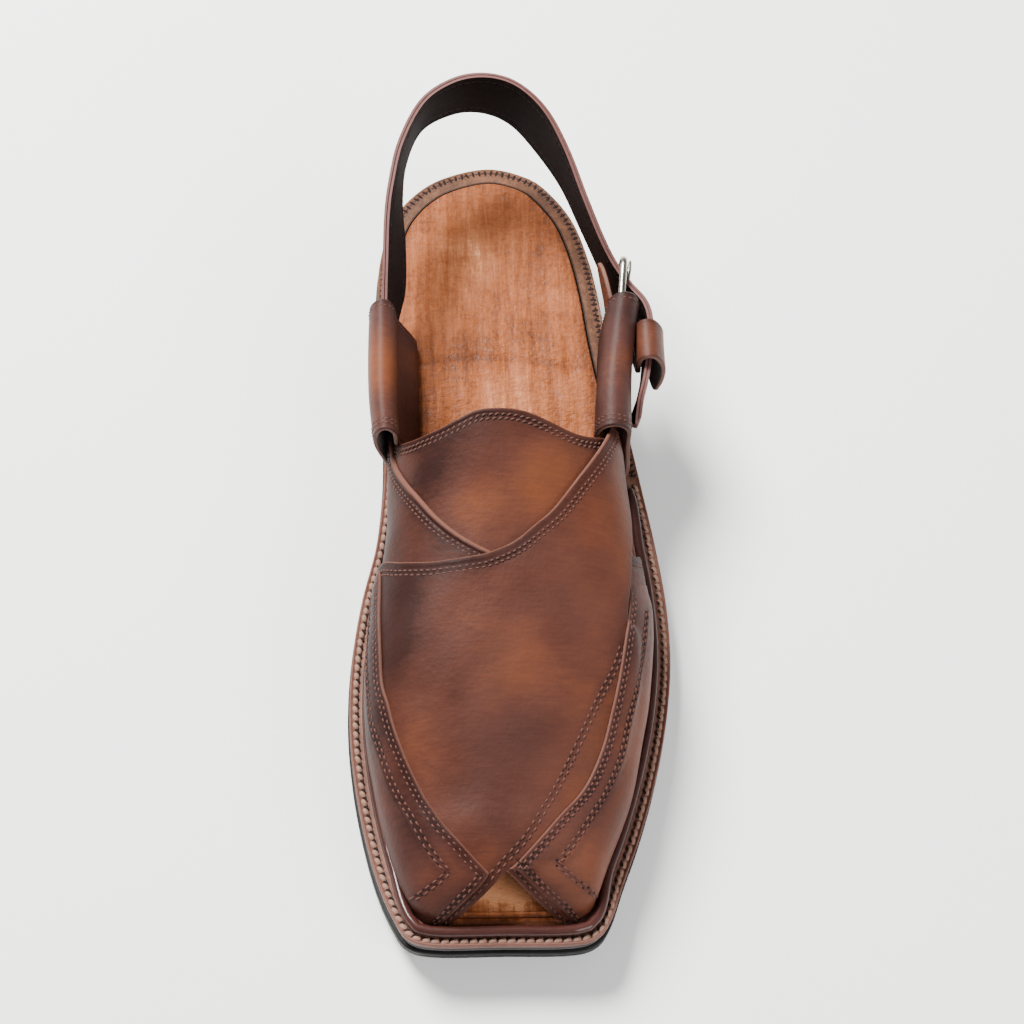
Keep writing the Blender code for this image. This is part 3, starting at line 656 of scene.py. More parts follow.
def stitch_meshes(surface, line, height, pitch, length, radius, phase=0.0, slant=0.0, hole=0.0,
                  offset=0.0, jitter=0.04, profile=ROUND_STITCH, hole_shape=(1.25, 1.0)):
    """Vertices and faces of thread stitches along a line on a surface, and of the holes between them.

    jitter is the share of the pitch by which hand work makes places, lengths and widths differ, and
    hole_shape how much wider than "hole" a hole is along and across the row.
    """
    line = np.asarray(line, float)
    along = lengths_along(line)
    starts = np.arange(phase, along[-1] - length, pitch)
    uneven = np.random.default_rng(len(starts)).uniform(-1.0, 1.0, (4, len(starts), 1))
    starts = starts + jitter * pitch * uneven[0, :, 0]
    centres = starts + length / 2

    def spot(distance):
        return np.stack([np.interp(distance, along, line[:, k]) for k in range(2)], axis=-1)

    def level_at(flat):
        return height(*flat.T) if callable(height) else height

    ahead = unit(spot(centres + AIM) - spot(centres - AIM))
    left = left_of(ahead)
    middle = spot(centres) + left * (offset + jitter * uneven[1])
    reach = ahead * length / 2 * (1.0 + jitter * uneven[2]) + left * (slant + 2.0 * jitter * uneven[3])
    level = level_at(middle)
    start, end = [surface.at(*(middle + sign * reach).T, level)[0] for sign in (-1.0, 1.0)]
    _, normal = surface.at(*middle.T, level)
    run = unit(end - start)
    side = unit(np.cross(run, normal))
    sides = 8 if radius > THICK_THREAD else 6
    rings = []
    for share, size, rise in profile:
        centre = start + (end - start) * share + normal * radius * rise
        for angle in np.arange(sides) * 2 * math.pi / sides:
            rings.append(centre + (side * math.cos(angle) + normal * math.sin(angle)) * radius * size)
    block = len(profile) * sides
    pattern = grid_faces(len(profile), sides, wrap_columns=True)
    pattern += [tuple(range(sides)), tuple(range(block - 1, block - 1 - sides, -1))]
    faces = [tuple(i + k * block for i in face) for k in range(len(centres)) for face in pattern]
    holes, hole_faces = [], []
    # each hole is a low dark cone: painted shade in place of a real hole
    if hole:
        spots = spot(starts - (pitch - length) / 2) + left * offset
        centre, up = surface.at(*spots.T, level_at(spots))
        for k in range(len(centre)):
            base = len(holes)
            holes.append(centre[k] + up[k] * HOLE_RISE)
            for corner in range(HOLE_CORNERS):
                angle = 2 * math.pi * corner / HOLE_CORNERS
                lean = (run[k] * math.cos(angle) * hole * hole_shape[0]
                        + side[k] * math.sin(angle) * hole * hole_shape[1])
                holes.append(centre[k] + lean - up[k] * HOLE_SINK)
            rim_points = range(base + 1, base + 1 + HOLE_CORNERS)
            hole_faces += [(base, a, b) for a, b in zip(rim_points, [*rim_points[1:], base + 1])]
            hole_faces.append(tuple(reversed(rim_points)))
    return np.stack(rings, axis=1).reshape(-1, 3), faces, np.array(holes).reshape(-1, 3), hole_faces


class Thread:
    """Collects stitches and needle holes into one piece for each panel."""

    def __init__(self, name, slot, looks):
        self.name, self.slot, self.looks = name, slot, looks
        self.points, self.faces, self.marks = [], [], []
        self.count = 0

    def add(self, points, faces, mark):
        if len(faces):
            self.points.append(points)
            self.faces += [tuple(i + self.count for i in face) for face in faces]
            self.marks += [mark] * len(faces)
            self.count += len(points)

    def row(self, surface, line, height, pitch, length, radius=0.32, hole=0.42, mark=0, gap=None, **rest):
        """A row along a line, or two rows a gap apart, the second half a pitch further on."""
        for offset, phase in ((gap / 2, 0.0), (-gap / 2, pitch / 2)) if gap else ((0.0, 0.0),):
            stitches = stitch_meshes(surface, line, height, pitch, length, radius, phase=phase, hole=hole,
                                     offset=offset, **rest)
            self.add(*stitches[:2], mark)
            self.add(*stitches[2:], 1)

    def finish(self):
        add_piece(self.name, np.vstack(self.points), self.faces, self.looks, self.marks,
                  sharp=60.0)


# ---------------- materials
class Nodes:
    """Shader nodes being added to a tree."""

    def __init__(self, tree):
        self.tree = tree

    def node(self, kind, inputs=None, **settings):
        """A new node; its inputs are values or other nodes' outputs, by socket."""
        made = self.tree.nodes.new(kind)
        for name, value in settings.items():
            setattr(made, name, value)
        for socket, value in (inputs or {}).items():
            self.feed(made.inputs[socket], value)
        return made

    def feed(self, socket, value):
        if hasattr(value, "is_output"):
            self.tree.links.new(value, socket)
        else:
            socket.default_value = value

    def math(self, operation, a, b=0.0, clamp=False):
        return self.node("ShaderNodeMath", {0: a, 1: b}, operation=operation, use_clamp=clamp).outputs[0]

    def times(self, value, factor):
        return self.math("MULTIPLY", value, factor)

    def total(self, first, *others):
        for other in others:
            first = self.math("ADD", first, other)
        return first

    def grey(self, value, low, high, from_low=0.0, from_high=1.0):
        inputs = {"Value": value, "From Min": from_low, "From Max": from_high, "To Min": low, "To Max": high}
        return self.node("ShaderNodeMapRange", inputs).outputs[0]


class Look(Nodes):
    """A Principled material being built from nodes, in object coordinates (metres)."""

    def __init__(self, name, roughness=0.5, metallic=0.0, coat=0.0, coat_roughness=0.3, sheen=0.0,
                 specular=0.5):
        self.made = bpy.data.materials.new(name)
        self.made.use_nodes = True
        super().__init__(self.made.node_tree)
        self.shader = self.tree.nodes["Principled BSDF"]
        for socket, value in (("Roughness", roughness), ("Metallic", metallic), ("Coat Weight", coat),
                              ("Coat Roughness", coat_roughness), ("Sheen Weight", sheen),
                              ("Specular IOR Level", specular)):
            self.set(socket, value)
        self.place = self.node("ShaderNodeTexCoord").outputs["Object"]

    def set(self, socket, value):
        self.feed(self.shader.inputs[socket], value)

    def noise(self, scale, detail=3.0, roughness=0.5, distortion=0.0, vector=None):
        inputs = {"Vector": self.place if vector is None else vector, "Scale": scale, "Detail": detail,
                  "Roughness": roughness, "Distortion": distortion}
        return self.node("ShaderNodeTexNoise", inputs).outputs[0]

    def streaks(self, scales, detail, roughness, distortion=0.0):
        """Noise with its own scale along each axis."""
        mapping = self.node("ShaderNodeMapping", {"Vector": self.place, "Scale": scales})
        return self.noise(1.0, detail, roughness, distortion, mapping.outputs[0])

    def cells(self, scale, feature="F1"):
        inputs = {"Vector": self.place, "Scale": scale}
        return self.node("ShaderNodeTexVoronoi", inputs, feature=feature).outputs["Distance"]

    def ramp(self, value, stops):
        made = self.node("ShaderNodeValToRGB", {0: value})
        elements = made.color_ramp.elements
        while len(elements) < len(stops):
            elements.new(0.5)
        for element, (position, colour) in zip(elements, stops):
            element.position = position
            element.color = (*colour, 1.0)
        return made.outputs[0]

    def mix(self, factor, *colours):
        inputs = {"Factor": factor}
        for socket, value in zip((6, 7), colours):
            inputs[socket] = value if hasattr(value, "is_output") else (*value, 1.0)
        return self.node("ShaderNodeMix", inputs, data_type="RGBA", blend_type="MIX").outputs[2]

    def mark(self, name):
        return self.node("ShaderNodeAttribute", attribute_name=name).outputs["Fac"]

    def worn_and_shaded(self, value, amount):
        """A value lowered where the leather is burnished and where painted shade is marked."""
        return self.math("SUBTRACT", value, self.times(self.mark("burnish_and_shade"), amount), clamp=True)

    def finish(self, colour, *bumps):
        """The material with its colour and its bumps: (height, distance in metres, strength)."""
        self.set("Base Color", colour)
        normal = None
        for height, distance, strength in bumps:
            inputs = {"Distance": distance, "Strength": strength, "Height": height}
            if normal is not None:
                inputs["Normal"] = normal
            normal = self.node("ShaderNodeBump", inputs).outputs[0]
        if normal is not None:
            self.set("Normal", normal)
        return self.made


def shades(dark, light):
    return (0.0, dark), (1.0, light)


def burnished_leather(name, dark, mid, light, raw, roughness=0.5, coat=0.0, specular=0.32,
                      coat_roughness=0.32, sheen_tint=None):
    """Hand-burnished veg-tan leather: cloudy tan over brown, dark along seams, light where cut; a given tint
    is mixed into soft patches as a painted sheen.
    """
    look = Look(name, roughness, coat=coat, coat_roughness=coat_roughness, specular=specular)
    cloud = look.noise(14.0, 3.0, 0.5, 0.3)
    mottle = look.noise(70.0, 4.0, 0.6)
    brushed = look.streaks((160.0, 900.0, 300.0), 3.0, 0.6)
    value = look.total(look.grey(cloud, -0.1, 1.1), look.times(look.mark("tone"), 0.6),
                       look.grey(mottle, -0.22, 0.22), look.grey(brushed, -0.16, 0.16))
    colour = look.ramp(look.worn_and_shaded(value, 0.55), ((0.0, dark), (0.5, mid), (1.0, light)))
    # soft patches of a grey-purple tint: painted sheen
    if sheen_tint:
        patches = look.noise(17.0, 3.0, 0.5, 0.4)
        colour = look.mix(look.grey(patches, 0.0, 0.55, 0.48, 0.74), colour, sheen_tint)
    colour = look.mix(look.grey(look.mark("raw"), 0.0, 0.85), colour, raw)
    look.set("Roughness", look.total(look.grey(brushed, roughness - 0.06, roughness + 0.1),
                                     look.times(look.mark("raw"), 0.12)))
    return look.finish(colour, (look.noise(120.0, 2.0), 0.0006, 0.25),
                       (look.cells(650.0, "SMOOTH_F1"), 0.00022, 0.35), (look.cells(1500.0), 0.00008, 0.35),
                       (brushed, 0.00012, 0.35))


def cut_edge(name, dark, light):
    """The fibrous cut edge of leather, in fine layers."""
    look = Look(name, 0.7)
    layers = look.streaks((300.0, 300.0, 2400.0), 3.0, 0.7)
    fibre = look.noise(900.0, 3.0, 0.7)
    value = look.total(look.times(layers, 0.6), look.times(fibre, 0.4))
    return look.finish(look.ramp(value, shades(dark, light)), (layers, 0.0002, 0.5), (fibre, 0.0002, 0.5))


def flesh_leather(name, dark, light, roughness=0.75, sheen=0.15, specular=0.3):
    """The rough inner side of leather or its plain lining."""
    look = Look(name, roughness, sheen=sheen, specular=specular)
    fibre = look.noise(420.0, 5.0, 0.7, 0.4)
    cloud = look.noise(35.0, 3.0)
    colour = look.mix(look.grey(cloud, 0.2, 0.8), look.ramp(fibre, shades(dark, light)), dark)
    return look.finish(colour, (fibre, 0.0004, 0.5), (look.cells(900.0), 0.0002, 0.3))


def thread_look(name, dark, light):
    look = Look(name, 0.7, specular=0.2)
    twist = look.noise(2600.0, 2.0, 0.6)
    return look.finish(look.ramp(twist, shades(dark, light)), (twist, 0.0002, 0.6))


# Needle holes are low dark cones on the surface; their near-black colour is painted shade standing in for
# the depth of a hole.
def needle_hole_shade(name, colour):
    look = Look(name, 0.85, specular=0.2)
    speck = look.noise(800.0, 2.0)
    return look.finish(look.mix(look.grey(speck, 0.0, 0.5), colour, tuple(c * 1.6 for c in colour)))


def insole_look():
    """Tan leather footbed: lengthwise grain streaks, darker worn patches and fine creases."""
    look = Look("insole_tan", 0.5, specular=0.15)
    streak = look.streaks((320.0, 22.0, 60.0), 5.0, 0.7, 0.3)
    cloud = look.noise(24.0, 5.0, 0.62, 0.8)
    fine = look.streaks((1500.0, 160.0, 200.0), 3.0, 0.7)
    wrinkle = look.streaks((240.0, 520.0, 200.0), 4.0, 0.75, 0.7)
    value = look.total(look.times(streak, 1.05), cloud, look.grey(fine, -0.92, -0.46),
                       look.grey(wrinkle, -0.34, 0.3), look.times(look.mark("tone"), 0.5))
    # the light top stop serves the painted light on the insole in the toe opening
    colour = look.ramp(look.worn_and_shaded(value, 0.35), (
        (0.05, (0.085, 0.022, 0.006)), (0.38, (0.205, 0.054, 0.013)), (0.62, (0.285, 0.088, 0.03)),
        (0.85, (0.42, 0.15, 0.06)), (1.0, (0.66, 0.28, 0.13))))
    look.set("Roughness", look.grey(wrinkle, 0.3, 0.68, 0.3, 0.7))
    return look.finish(colour, (cloud, 0.001, 0.4), (wrinkle, 0.0008, 0.6), (streak, 0.0005, 0.4),
                       (fine, 0.00015, 0.5), (look.cells(620.0, "SMOOTH_F1"), 0.0004, 0.45),
                       (look.cells(1300.0), 0.00012, 0.4))


def welt_look():
    """Pinkish tan round the forefoot and a browner tan round the seat, which the mark "tone" sets apart."""
    look = Look("welt_tan", 0.6, specular=0.2)
    fibre = look.noise(420.0, 4.0, 0.7)
    cloud = look.noise(60.0, 4.0, 0.6)
    value = look.worn_and_shaded(look.total(look.times(fibre, 0.5), look.times(cloud, 0.5)), 0.6)
    colour = look.ramp(value, ((0.0, (0.012, 0.004, 0.003)), (0.45, (0.105, 0.046, 0.032)),
                               (0.8, (0.22, 0.105, 0.074))))
    colour = look.mix(look.mark("raw"), colour, (0.125, 0.05, 0.038))
    seat = look.ramp(value, ((0.2, (0.014, 0.005, 0.0026)), (0.48, (0.072, 0.027, 0.0115)),
                             (0.72, (0.185, 0.073, 0.034))))
    return look.finish(look.mix(look.mark("tone"), colour, seat), (fibre, 0.0004, 0.5),
                       (look.cells(1100.0), 0.0002, 0.4))


def rubber_look(name, colour, roughness):
    look = Look(name, roughness, specular=0.2)
    speck = look.noise(500.0, 4.0, 0.6)
    dust = look.noise(28.0, 3.0)
    look.set("Roughness", look.grey(speck, roughness - 0.08, roughness + 0.12))
    return look.finish(look.mix(look.grey(dust, 0.0, 0.6), colour, tuple(c * 1.9 for c in colour)),
                       (speck, 0.0003, 0.35))


def metal_look(name):
    look = Look(name, 0.2, metallic=1.0)
    scratch = look.streaks((900.0, 160.0, 900.0), 4.0, 0.7)
    tarnish = look.noise(160.0, 4.0, 0.6)
    look.set("Roughness", look.grey(scratch, 0.16, 0.36))
    return look.finish(look.ramp(tarnish, ((0.25, (0.08, 0.076, 0.062)), (0.6, (0.29, 0.28, 0.245)))),
                       (scratch, 0.00008, 0.4), (tarnish, 0.0002, 0.15))


RAW_TAN = (0.118, 0.048, 0.033)
# grey-purple tint mixed into soft patches of the upper and the facings: painted sheen
PAINTED_SHEEN_TINT = (0.05, 0.02, 0.016)
LOOKS = {
    "upper": burnished_leather(
        "upper_burnished", (0.016, 0.0042, 0.003), (0.056, 0.0172, 0.0106), (0.122, 0.036, 0.013),
        RAW_TAN, roughness=0.52, specular=0.09, sheen_tint=PAINTED_SHEEN_TINT),
    "overlay": burnished_leather(
        "overlay_burnished", (0.016, 0.0046, 0.0036), (0.056, 0.018, 0.0125), (0.118, 0.036, 0.0175),
        RAW_TAN, roughness=0.5, specular=0.1, sheen_tint=PAINTED_SHEEN_TINT),
    "ear": burnished_leather(
        "ear_burnished", (0.014, 0.005, 0.0044), (0.047, 0.0175, 0.014), (0.15, 0.042, 0.014),
        (0.13, 0.05, 0.036), roughness=0.54, specular=0.13),
    "strap": burnished_leather(
        "strap_brown", (0.008, 0.0032, 0.0026), (0.034, 0.0118, 0.0084), (0.07, 0.021, 0.01),
        (0.12, 0.042, 0.034), coat=0.04),
    "keeper": burnished_leather(
        "keeper_tan", (0.018, 0.005, 0.003), (0.072, 0.022, 0.012), (0.17, 0.05, 0.017),
        (0.14, 0.055, 0.038), roughness=0.54, specular=0.16),
    "rand": burnished_leather(
        "rand_oxblood", (0.007, 0.002, 0.0016), (0.028, 0.0076, 0.006), (0.055, 0.0155, 0.0118),
        (0.13, 0.05, 0.04), coat=0.4, specular=0.1, coat_roughness=0.1),
    "guard": flesh_leather("guard_rough", (0.045, 0.0125, 0.006), (0.155, 0.05, 0.024), 0.7,
                           sheen=0.0, specular=0.12),
    "raw": cut_edge("cut_edge_tan", (0.045, 0.016, 0.011), (0.15, 0.062, 0.042)),
    "strap_raw": cut_edge("cut_edge_strap", (0.045, 0.0125, 0.0105), (0.15, 0.046, 0.039)),
    "dark_raw": cut_edge("cut_edge_dark", (0.015, 0.005, 0.0035), (0.06, 0.021, 0.013)),
    "lining": flesh_leather("lining_brown", (0.022, 0.0066, 0.0035), (0.085, 0.028, 0.013)),
    # the strap's inner face: dark leather, darkened further with painted shade
    "strap_inside": flesh_leather("strap_inside_dark_and_shaded", (0.004, 0.0022, 0.002), (0.014, 0.008, 0.0074), 0.8,
                                  sheen=0.0, specular=0.08),
    "thread": thread_look("thread_brown", (0.03, 0.0115, 0.0085), (0.125, 0.052, 0.038)),
    "strap_thread": thread_look("thread_dark", (0.006, 0.003, 0.0025), (0.022, 0.01, 0.008)),
    "welt_thread": thread_look("thread_tan", (0.115, 0.06, 0.044), (0.3, 0.17, 0.126)),
    "hole": needle_hole_shade("needle_hole_shade", (0.008, 0.003, 0.0024)),
    "insole": insole_look(),
    "welt": welt_look(),
    "midsole": flesh_leather("midsole_stacked", (0.016, 0.01, 0.009), (0.055, 0.036, 0.031), 0.65,
                             specular=0.15),
    "outsole": rubber_look("outsole_black", (0.0066, 0.0064, 0.0066), 0.55),
    "heel": rubber_look("heel_black", (0.0062, 0.006, 0.0062), 0.6),
    "metal": metal_look("buckle_nickel"),
}


# ---------------- sole
RING_COUNT = 520
# inset and height over the sole's rise, from the underside up
OUTSOLE = ((1.4, 0.0), (0.5, 0.25), (-0.1, 0.9), (-0.45, 1.8), (-0.5, 3.0), (-0.35, 3.6), (-0.35, 4.0),
           (-0.5, 4.6), (-0.5, 5.4), (-0.25, 5.85), (0.2, 6.0))
MIDSOLE = ((1.3, MIDSOLE_BASE), (0.8, MIDSOLE_BASE + 0.3), (0.7, 8.0), (0.95, 8.5), (0.7, 9.0),
           (0.8, 11.0), (1.3, 11.3))
# inset and height of the heel block's section
HEEL_SECTION = ((1.8, 0.0), (0.6, 0.2), (0.1, 0.9), (0.0, 1.8), (0.0, 4.9), (0.45, 5.2), (0.0, 5.5),
                (0.0, HEEL_LIFT - TOUCH - 0.2), (0.3, HEEL_LIFT - TOUCH))
HEEL_HALF = 42.0


def rings_of(levels):
    """Loops of points through levels of (inset, rounding, height over the sole's rise)."""
    loops = []
    for inset, rounding, height in levels:
        line = inset_curve(inset, rounding, RING_COUNT)
        loops.append(np.column_stack([line, sole_rise(line[:, 1]) + height]))
    return np.array(loops)


def cap_faces(start, count, flip):
    """A flat cap of rungs across a ring whose first point is at the toe's centre."""
    half = count // 2
    faces = [(start, start + 1, start + count - 1)]
    for i in range(1, half - 1):
        faces.append((start + i, start + i + 1, start + count - i - 1, start + count - i))
    faces.append((start + half - 1, start + half, start + half + 1))
    return [tuple(reversed(face)) for face in faces] if flip else faces


def make_layers():
    for solid, name, levels in (("outsole", "outsole_rubber", OUTSOLE),
                                ("midsole", "midsole_leather", MIDSOLE)):
        loops = rings_of([(inset, 0.0, height) for inset, height in levels])
        last = (len(loops) - 1) * RING_COUNT
        faces = grid_faces(len(loops), RING_COUNT, wrap_columns=True)
        faces += cap_faces(0, RING_COUNT, True) + cap_faces(last, RING_COUNT, False)
        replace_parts(add_piece(name, loops.reshape(-1, 3), faces, [solid], sharp=50.0), solid)


def make_heel():
    """Heel block of rubber with a lift line, straight across its front."""
    edge = resample(inset_curve(1.0), 400, True)
    rear = edge[edge[:, 1] > HEEL_BREAST]
    breast = resample([(rear[-1][0], HEEL_BREAST), (rear[0][0], HEEL_BREAST)], 40)
    outline = np.vstack([rear, breast])
    centre = np.array([0.0, HEEL_CENTRE])
    loops = []
    for shrink, height in HEEL_SECTION:
        line = centre + (outline - centre) * (1.0 - shrink / HEEL_HALF)
        loops.append(np.column_stack([line, np.full(len(line), height)]))
    count = len(outline)
    faces = grid_faces(len(loops), count, wrap_columns=True)
    faces += [tuple(range(count)), tuple(range((len(loops) - 1) * count, len(loops) * count))]
    piece = add_piece("heel_block", np.reshape(loops, (-1, 3)), faces, ["heel"], sharp=40.0)
    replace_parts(piece, "heel")


# inset, depth under the welt's top, rise at the seat, the mark "raw", and the darkening mark, which here is
# painted shade in the channel under the stitches
WELT_SECTION = (
    (0.0, 0.7, 0.0, 0.3, 0.0), (0.1, 0.25, 0.0, 0.8, 0.0), (0.35, 0.05, 0.0, 1.0, 0.0),
    (0.7, 0.1, 0.05, 0.7, 0.0), (0.95, 0.35, 0.2, 0.0, 0.0), (1.3, 0.45, 0.3, 0.0, 0.05),
    (3.0, 0.45, 0.4, 0.0, 0.05), (3.4, 0.5, 0.45, 0.0, 0.1), (3.75, 0.3, 0.25, 0.0, 0.05),
    (4.1, 0.1, 0.1, 0.0, 0.0), (4.5, 0.0, 0.0, 0.0, 0.0),
)
WELT_BAND = 0.7
SEAT_BLEND = (165.0, 185.0)
WELT_STITCH_INSET = 2.2
WELT_TOE_SHIFT = 0.65
WELT_PITCH = 3.15
WELT_STITCH_LENGTH = 3.05
WELT_SLOT_SHIFT = 0.42
HEEL_ROW_INSET = 2.1
HEEL_ROW_START = 176.0
HEEL_ROW_OVERLAP = 2.0


def make_welt():
    """Welt: a raised edge line, a channel under the thick stitches, and a flat band by the rand."""
    below = [(0.25, 0.0, WELT_BASE), (0.0, 0.0, WELT_BASE + 0.3)]
    shown = [(row[0], 0.0, WELT_TOP - row[1]) for row in WELT_SECTION]
    band = [(lambda station: welt_inner(station) - WELT_BAND, CORNER_ROUNDING, WELT_TOP),
            (welt_inner, CORNER_ROUNDING, WELT_TOP), (welt_inner, CORNER_ROUNDING, WELT_BASE)]
    loops = rings_of(below + shown + band)
    seat = smooth_step(loops[:, :, 1], *SEAT_BLEND)
    rise, raw, burnish_and_shade = np.zeros((3, *seat.shape))
    for index, (_, _, *values) in enumerate(WELT_SECTION, len(below)):
        rise[index], raw[index], burnish_and_shade[index] = values
    loops[:, :, 2] += rise * seat
    # painted shadow: round the seat the welt's inner edge by the insole is darkened as if the insole's edge
    # shaded it
    burnish_and_shade[-2] = seat[-2]
    faces = grid_faces(len(loops), RING_COUNT, wrap_rows=True, wrap_columns=True)
    piece = add_piece("welt_strip", loops.reshape(-1, 3), faces, ["welt"],
                      attributes={"raw": raw.ravel(), "burnish_and_shade": burnish_and_shade.ravel(), "tone": seat.ravel()},
                      sharp=60.0)
    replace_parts(piece, "welt")

    surface = FlatSurface(WELT_TOP)
    thread = Thread("welt_stitches", "welt_leather", ("welt_thread", "hole", "thread"))
    line = inset_curve(lambda station: WELT_STITCH_INSET - WELT_TOE_SHIFT * toe_share(station),
                       count=RING_COUNT)
    closed = np.vstack([line, line[:1]])
    at_heel = np.flatnonzero(closed[:, 1] >= HEEL_ROW_START)
    fore = np.vstack([closed[at_heel[-1] + 1:], closed[:at_heel[0]]])
    thread.row(surface, fore, -0.45, pitch=WELT_PITCH, length=WELT_STITCH_LENGTH, radius=1.02, hole=0.0,
               slant=0.3, jitter=0.06, profile=BLUNT_STITCH)
    slots = stitch_meshes(surface, shift_line(fore, WELT_SLOT_SHIFT), 0.36, WELT_PITCH, WELT_STITCH_LENGTH,
                          0.2, hole=0.68, slant=1.3, hole_shape=(1.45, 0.8))
    thread.add(*slots[2:], 1)
    heel_line = inset_curve(HEEL_ROW_INSET, count=RING_COUNT)
    heel_line = heel_line[heel_line[:, 1] > HEEL_ROW_START - HEEL_ROW_OVERLAP]
    thread.row(surface, heel_line, 0.0, pitch=2.3, length=0.9, radius=0.3, hole=0.82, mark=2, jitter=0.1,
               hole_shape=(0.7, 1.6))
    thread.finish()


RAND_POINTS = 420
RAND_TAPER = 8.0
RAND_END_SIZE = 0.55
RAND_UNEVENNESS = 0.012
RAND_CLEARANCE = 0.1


def make_rand():
    def inset(station):
        return welt_inner(station) - RAND_DIAMETER / 2 - TOE_RAND_SHIFT * toe_share(station)

    line = inset_curve(inset, CORNER_ROUNDING, 900)
    half = len(line) // 2
    lateral = line[:half][line[:half, 1] < RAND_END]
    medial = line[half:][line[half:, 1] < RAND_END]
    points = resample(np.vstack([medial, lateral]), RAND_POINTS)
    height = welt_level(points[:, 1]) + RAND_DIAMETER / 2 + RAND_CLEARANCE
    number = np.arange(RAND_POINTS)
    ends = np.clip(np.minimum(number, number[::-1]) / RAND_TAPER, 0.0, 1.0)
    size = RAND_DIAMETER / 2 * (RAND_END_SIZE + (1.0 - RAND_END_SIZE) * ends ** 0.5)
    size = size * (1.0 + RAND_UNEVENNESS * np.sin(number * 0.9) * np.sin(number * 0.23))
    piece = add_tube("rand_cord", np.column_stack([points, height]), size, 20, "rand")
    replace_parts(piece, "rand")


INSOLE_SHEET = FlatSurface(INSOLE_TOP)
INSOLE_UNDER = -3.6
OPENING_SIDES = ((-19.0, -16.5), (19.5, 22.0))
OPENING_DEPTH = 30.0
HEEL_DISH = 0.9
RIPPLE = 0.16
RIPPLE_STATIONS = ((165.0, 190.0), (225.0, 245.0))
INSOLE_CREASE = ((-31, 217.5), (-18, 219.5), (0, 220.5), (18, 219), (31, 216.5))
INSOLE_FOLDS = (
    ((-24, 212), (-23, 198), (-21.5, 184)),
    ((-29, 210), (-28.5, 196), (-28, 182)),
    ((23.5, 212), (25, 198), (26, 182)),
    ((18, 192), (21, 184), (22.5, 176)),
    ((22, 190), (24.5, 183), (25.5, 176)),
)
FOLD_STEP = 0.6
TOE_REACH = 5.6
# station, depth (a ridge when negative) and half-width of the lines across the toe opening
INSOLE_TOE_LINES = ((11.5, -0.5, 0.8), (10, 0.55, 0.6), (7.6, 0.5, 0.8))
# x, station, radius across, radius along, amount
INSOLE_TONES = (
    (-6, 268, 14, 22, 1.05), (14, 286, 18, 14, 0.1), (-12, 236, 20, 12, 0.15), (0, 190, 34, 22, 0.45),
    (20, 205, 12, 12, 0.35), (-30, 240, 8, 50, 0.3), (-4, 226, 24, 8, -0.25), (30, 236, 8, 26, 0.15),
    # the toe row: the insole in the toe opening is painted lighter as if lit, with a painted highlight on
    # the ridge at station 12 and painted shade in the grooves at 9.9 and 7.2
    (0, 22, 24, 10, 2.2), (1, 12, 24, 1, 0.6), (1, 9.9, 24, 0.5, -1), (1, 7.2, 24, 0.9, -1.2),
)


def blobs(table):
    """A tone over two coordinates, as soft round patches."""
    def read(a, b):
        total = np.zeros(np.shape(a))
        for centre_a, centre_b, size_a, size_b, amount in table:
            total += amount * np.exp(-((a - centre_a) / size_a) ** 2 - ((b - centre_b) / size_b) ** 2)
        return total
    return read


def make_insole():
    outline = inset_curve(insole_inset, CORNER_ROUNDING, RING_COUNT)[::-1]
    in_opening = np.where(outline[:, 1] < OPENING_DEPTH, hump(outline[:, 0], *OPENING_SIDES), 0.0)
    outline[:, 1] -= in_opening * TOE_REACH

    def layer(x, station):
        dish = -HEEL_DISH * np.exp(-(x / 22.0) ** 2) * np.exp(-((station - 268.0) / 26.0) ** 2)
        ripple = RIPPLE * np.sin(x * 0.55 + 0.8 * np.sin(station * 0.06)) * hump(station, *RIPPLE_STATIONS)
        return np.full(np.shape(x), INSOLE_UNDER), dish + ripple

    grooves = [(evenly(spline(INSOLE_CREASE, 10), FOLD_STEP), 0.35, 1.3)]
    grooves += [(evenly(spline(fold, 10), FOLD_STEP), 0.4, 1.5) for fold in INSOLE_FOLDS]
    for station, depth, half_width in INSOLE_TOE_LINES:
        line = [(-20.0, station), (1.0, station - 0.25), (23.0, station)]
        grooves.append((evenly(line, FOLD_STEP), depth, half_width))
    piece = add_panel("insole_sheet", INSOLE_SHEET, outline, layer, ("insole", "raw"), "insole_leather",
                      grooves=grooves, tone=blobs(INSOLE_TONES), waves=0.1, grid=2.2, rounding=1.2)
    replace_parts(piece, "insole")


# ---------------- upper
BASE_TUCK = 0.4
BASE_STEP = 1.2
SETTLE_FROM = 4.0
SETTLE_TO = 10.0
SETTLED_SHARE = 0.5
TOE_FACE_STRETCH = 1.18
OVERLAY_LOW = 1.8


def stacked(low, high):
    """A layer between two heights that packs down behind the rand."""
    def layer(girth, reach):
        above_base = np.minimum(SURFACE.side_girth(girth, reach) - np.abs(girth), TOE_FACE_STRETCH * reach)
        share = SETTLED_SHARE + (1.0 - SETTLED_SHARE) * smooth_step(above_base, SETTLE_FROM, SETTLE_TO)
        return low * share, high * share
    return layer


def top_of(layer, sink):
    return lambda girth, reach: layer(girth, reach)[1] - sink


LINING_LAYER = stacked(-2.7, -1.95)
TONGUE_LAYER = stacked(-1.9, -0.8)
BAND_LAYER = stacked(-0.75, 0.45)
VAMP_LAYER = stacked(0.5, 1.75)
OVERLAY_LAYER = stacked(OVERLAY_LOW, 2.9)


def curve_of(points):
    return evenly(spline(points, 10), EDGE_STEP)


def back_along(points):
    return curve_of(points[::-1])


def wide_at(reach, side):
    """The upper's foot on a side, a little above the feather line."""
    return float(side * SURFACE.side_girth(side, reach)) - side * BASE_TUCK, reach


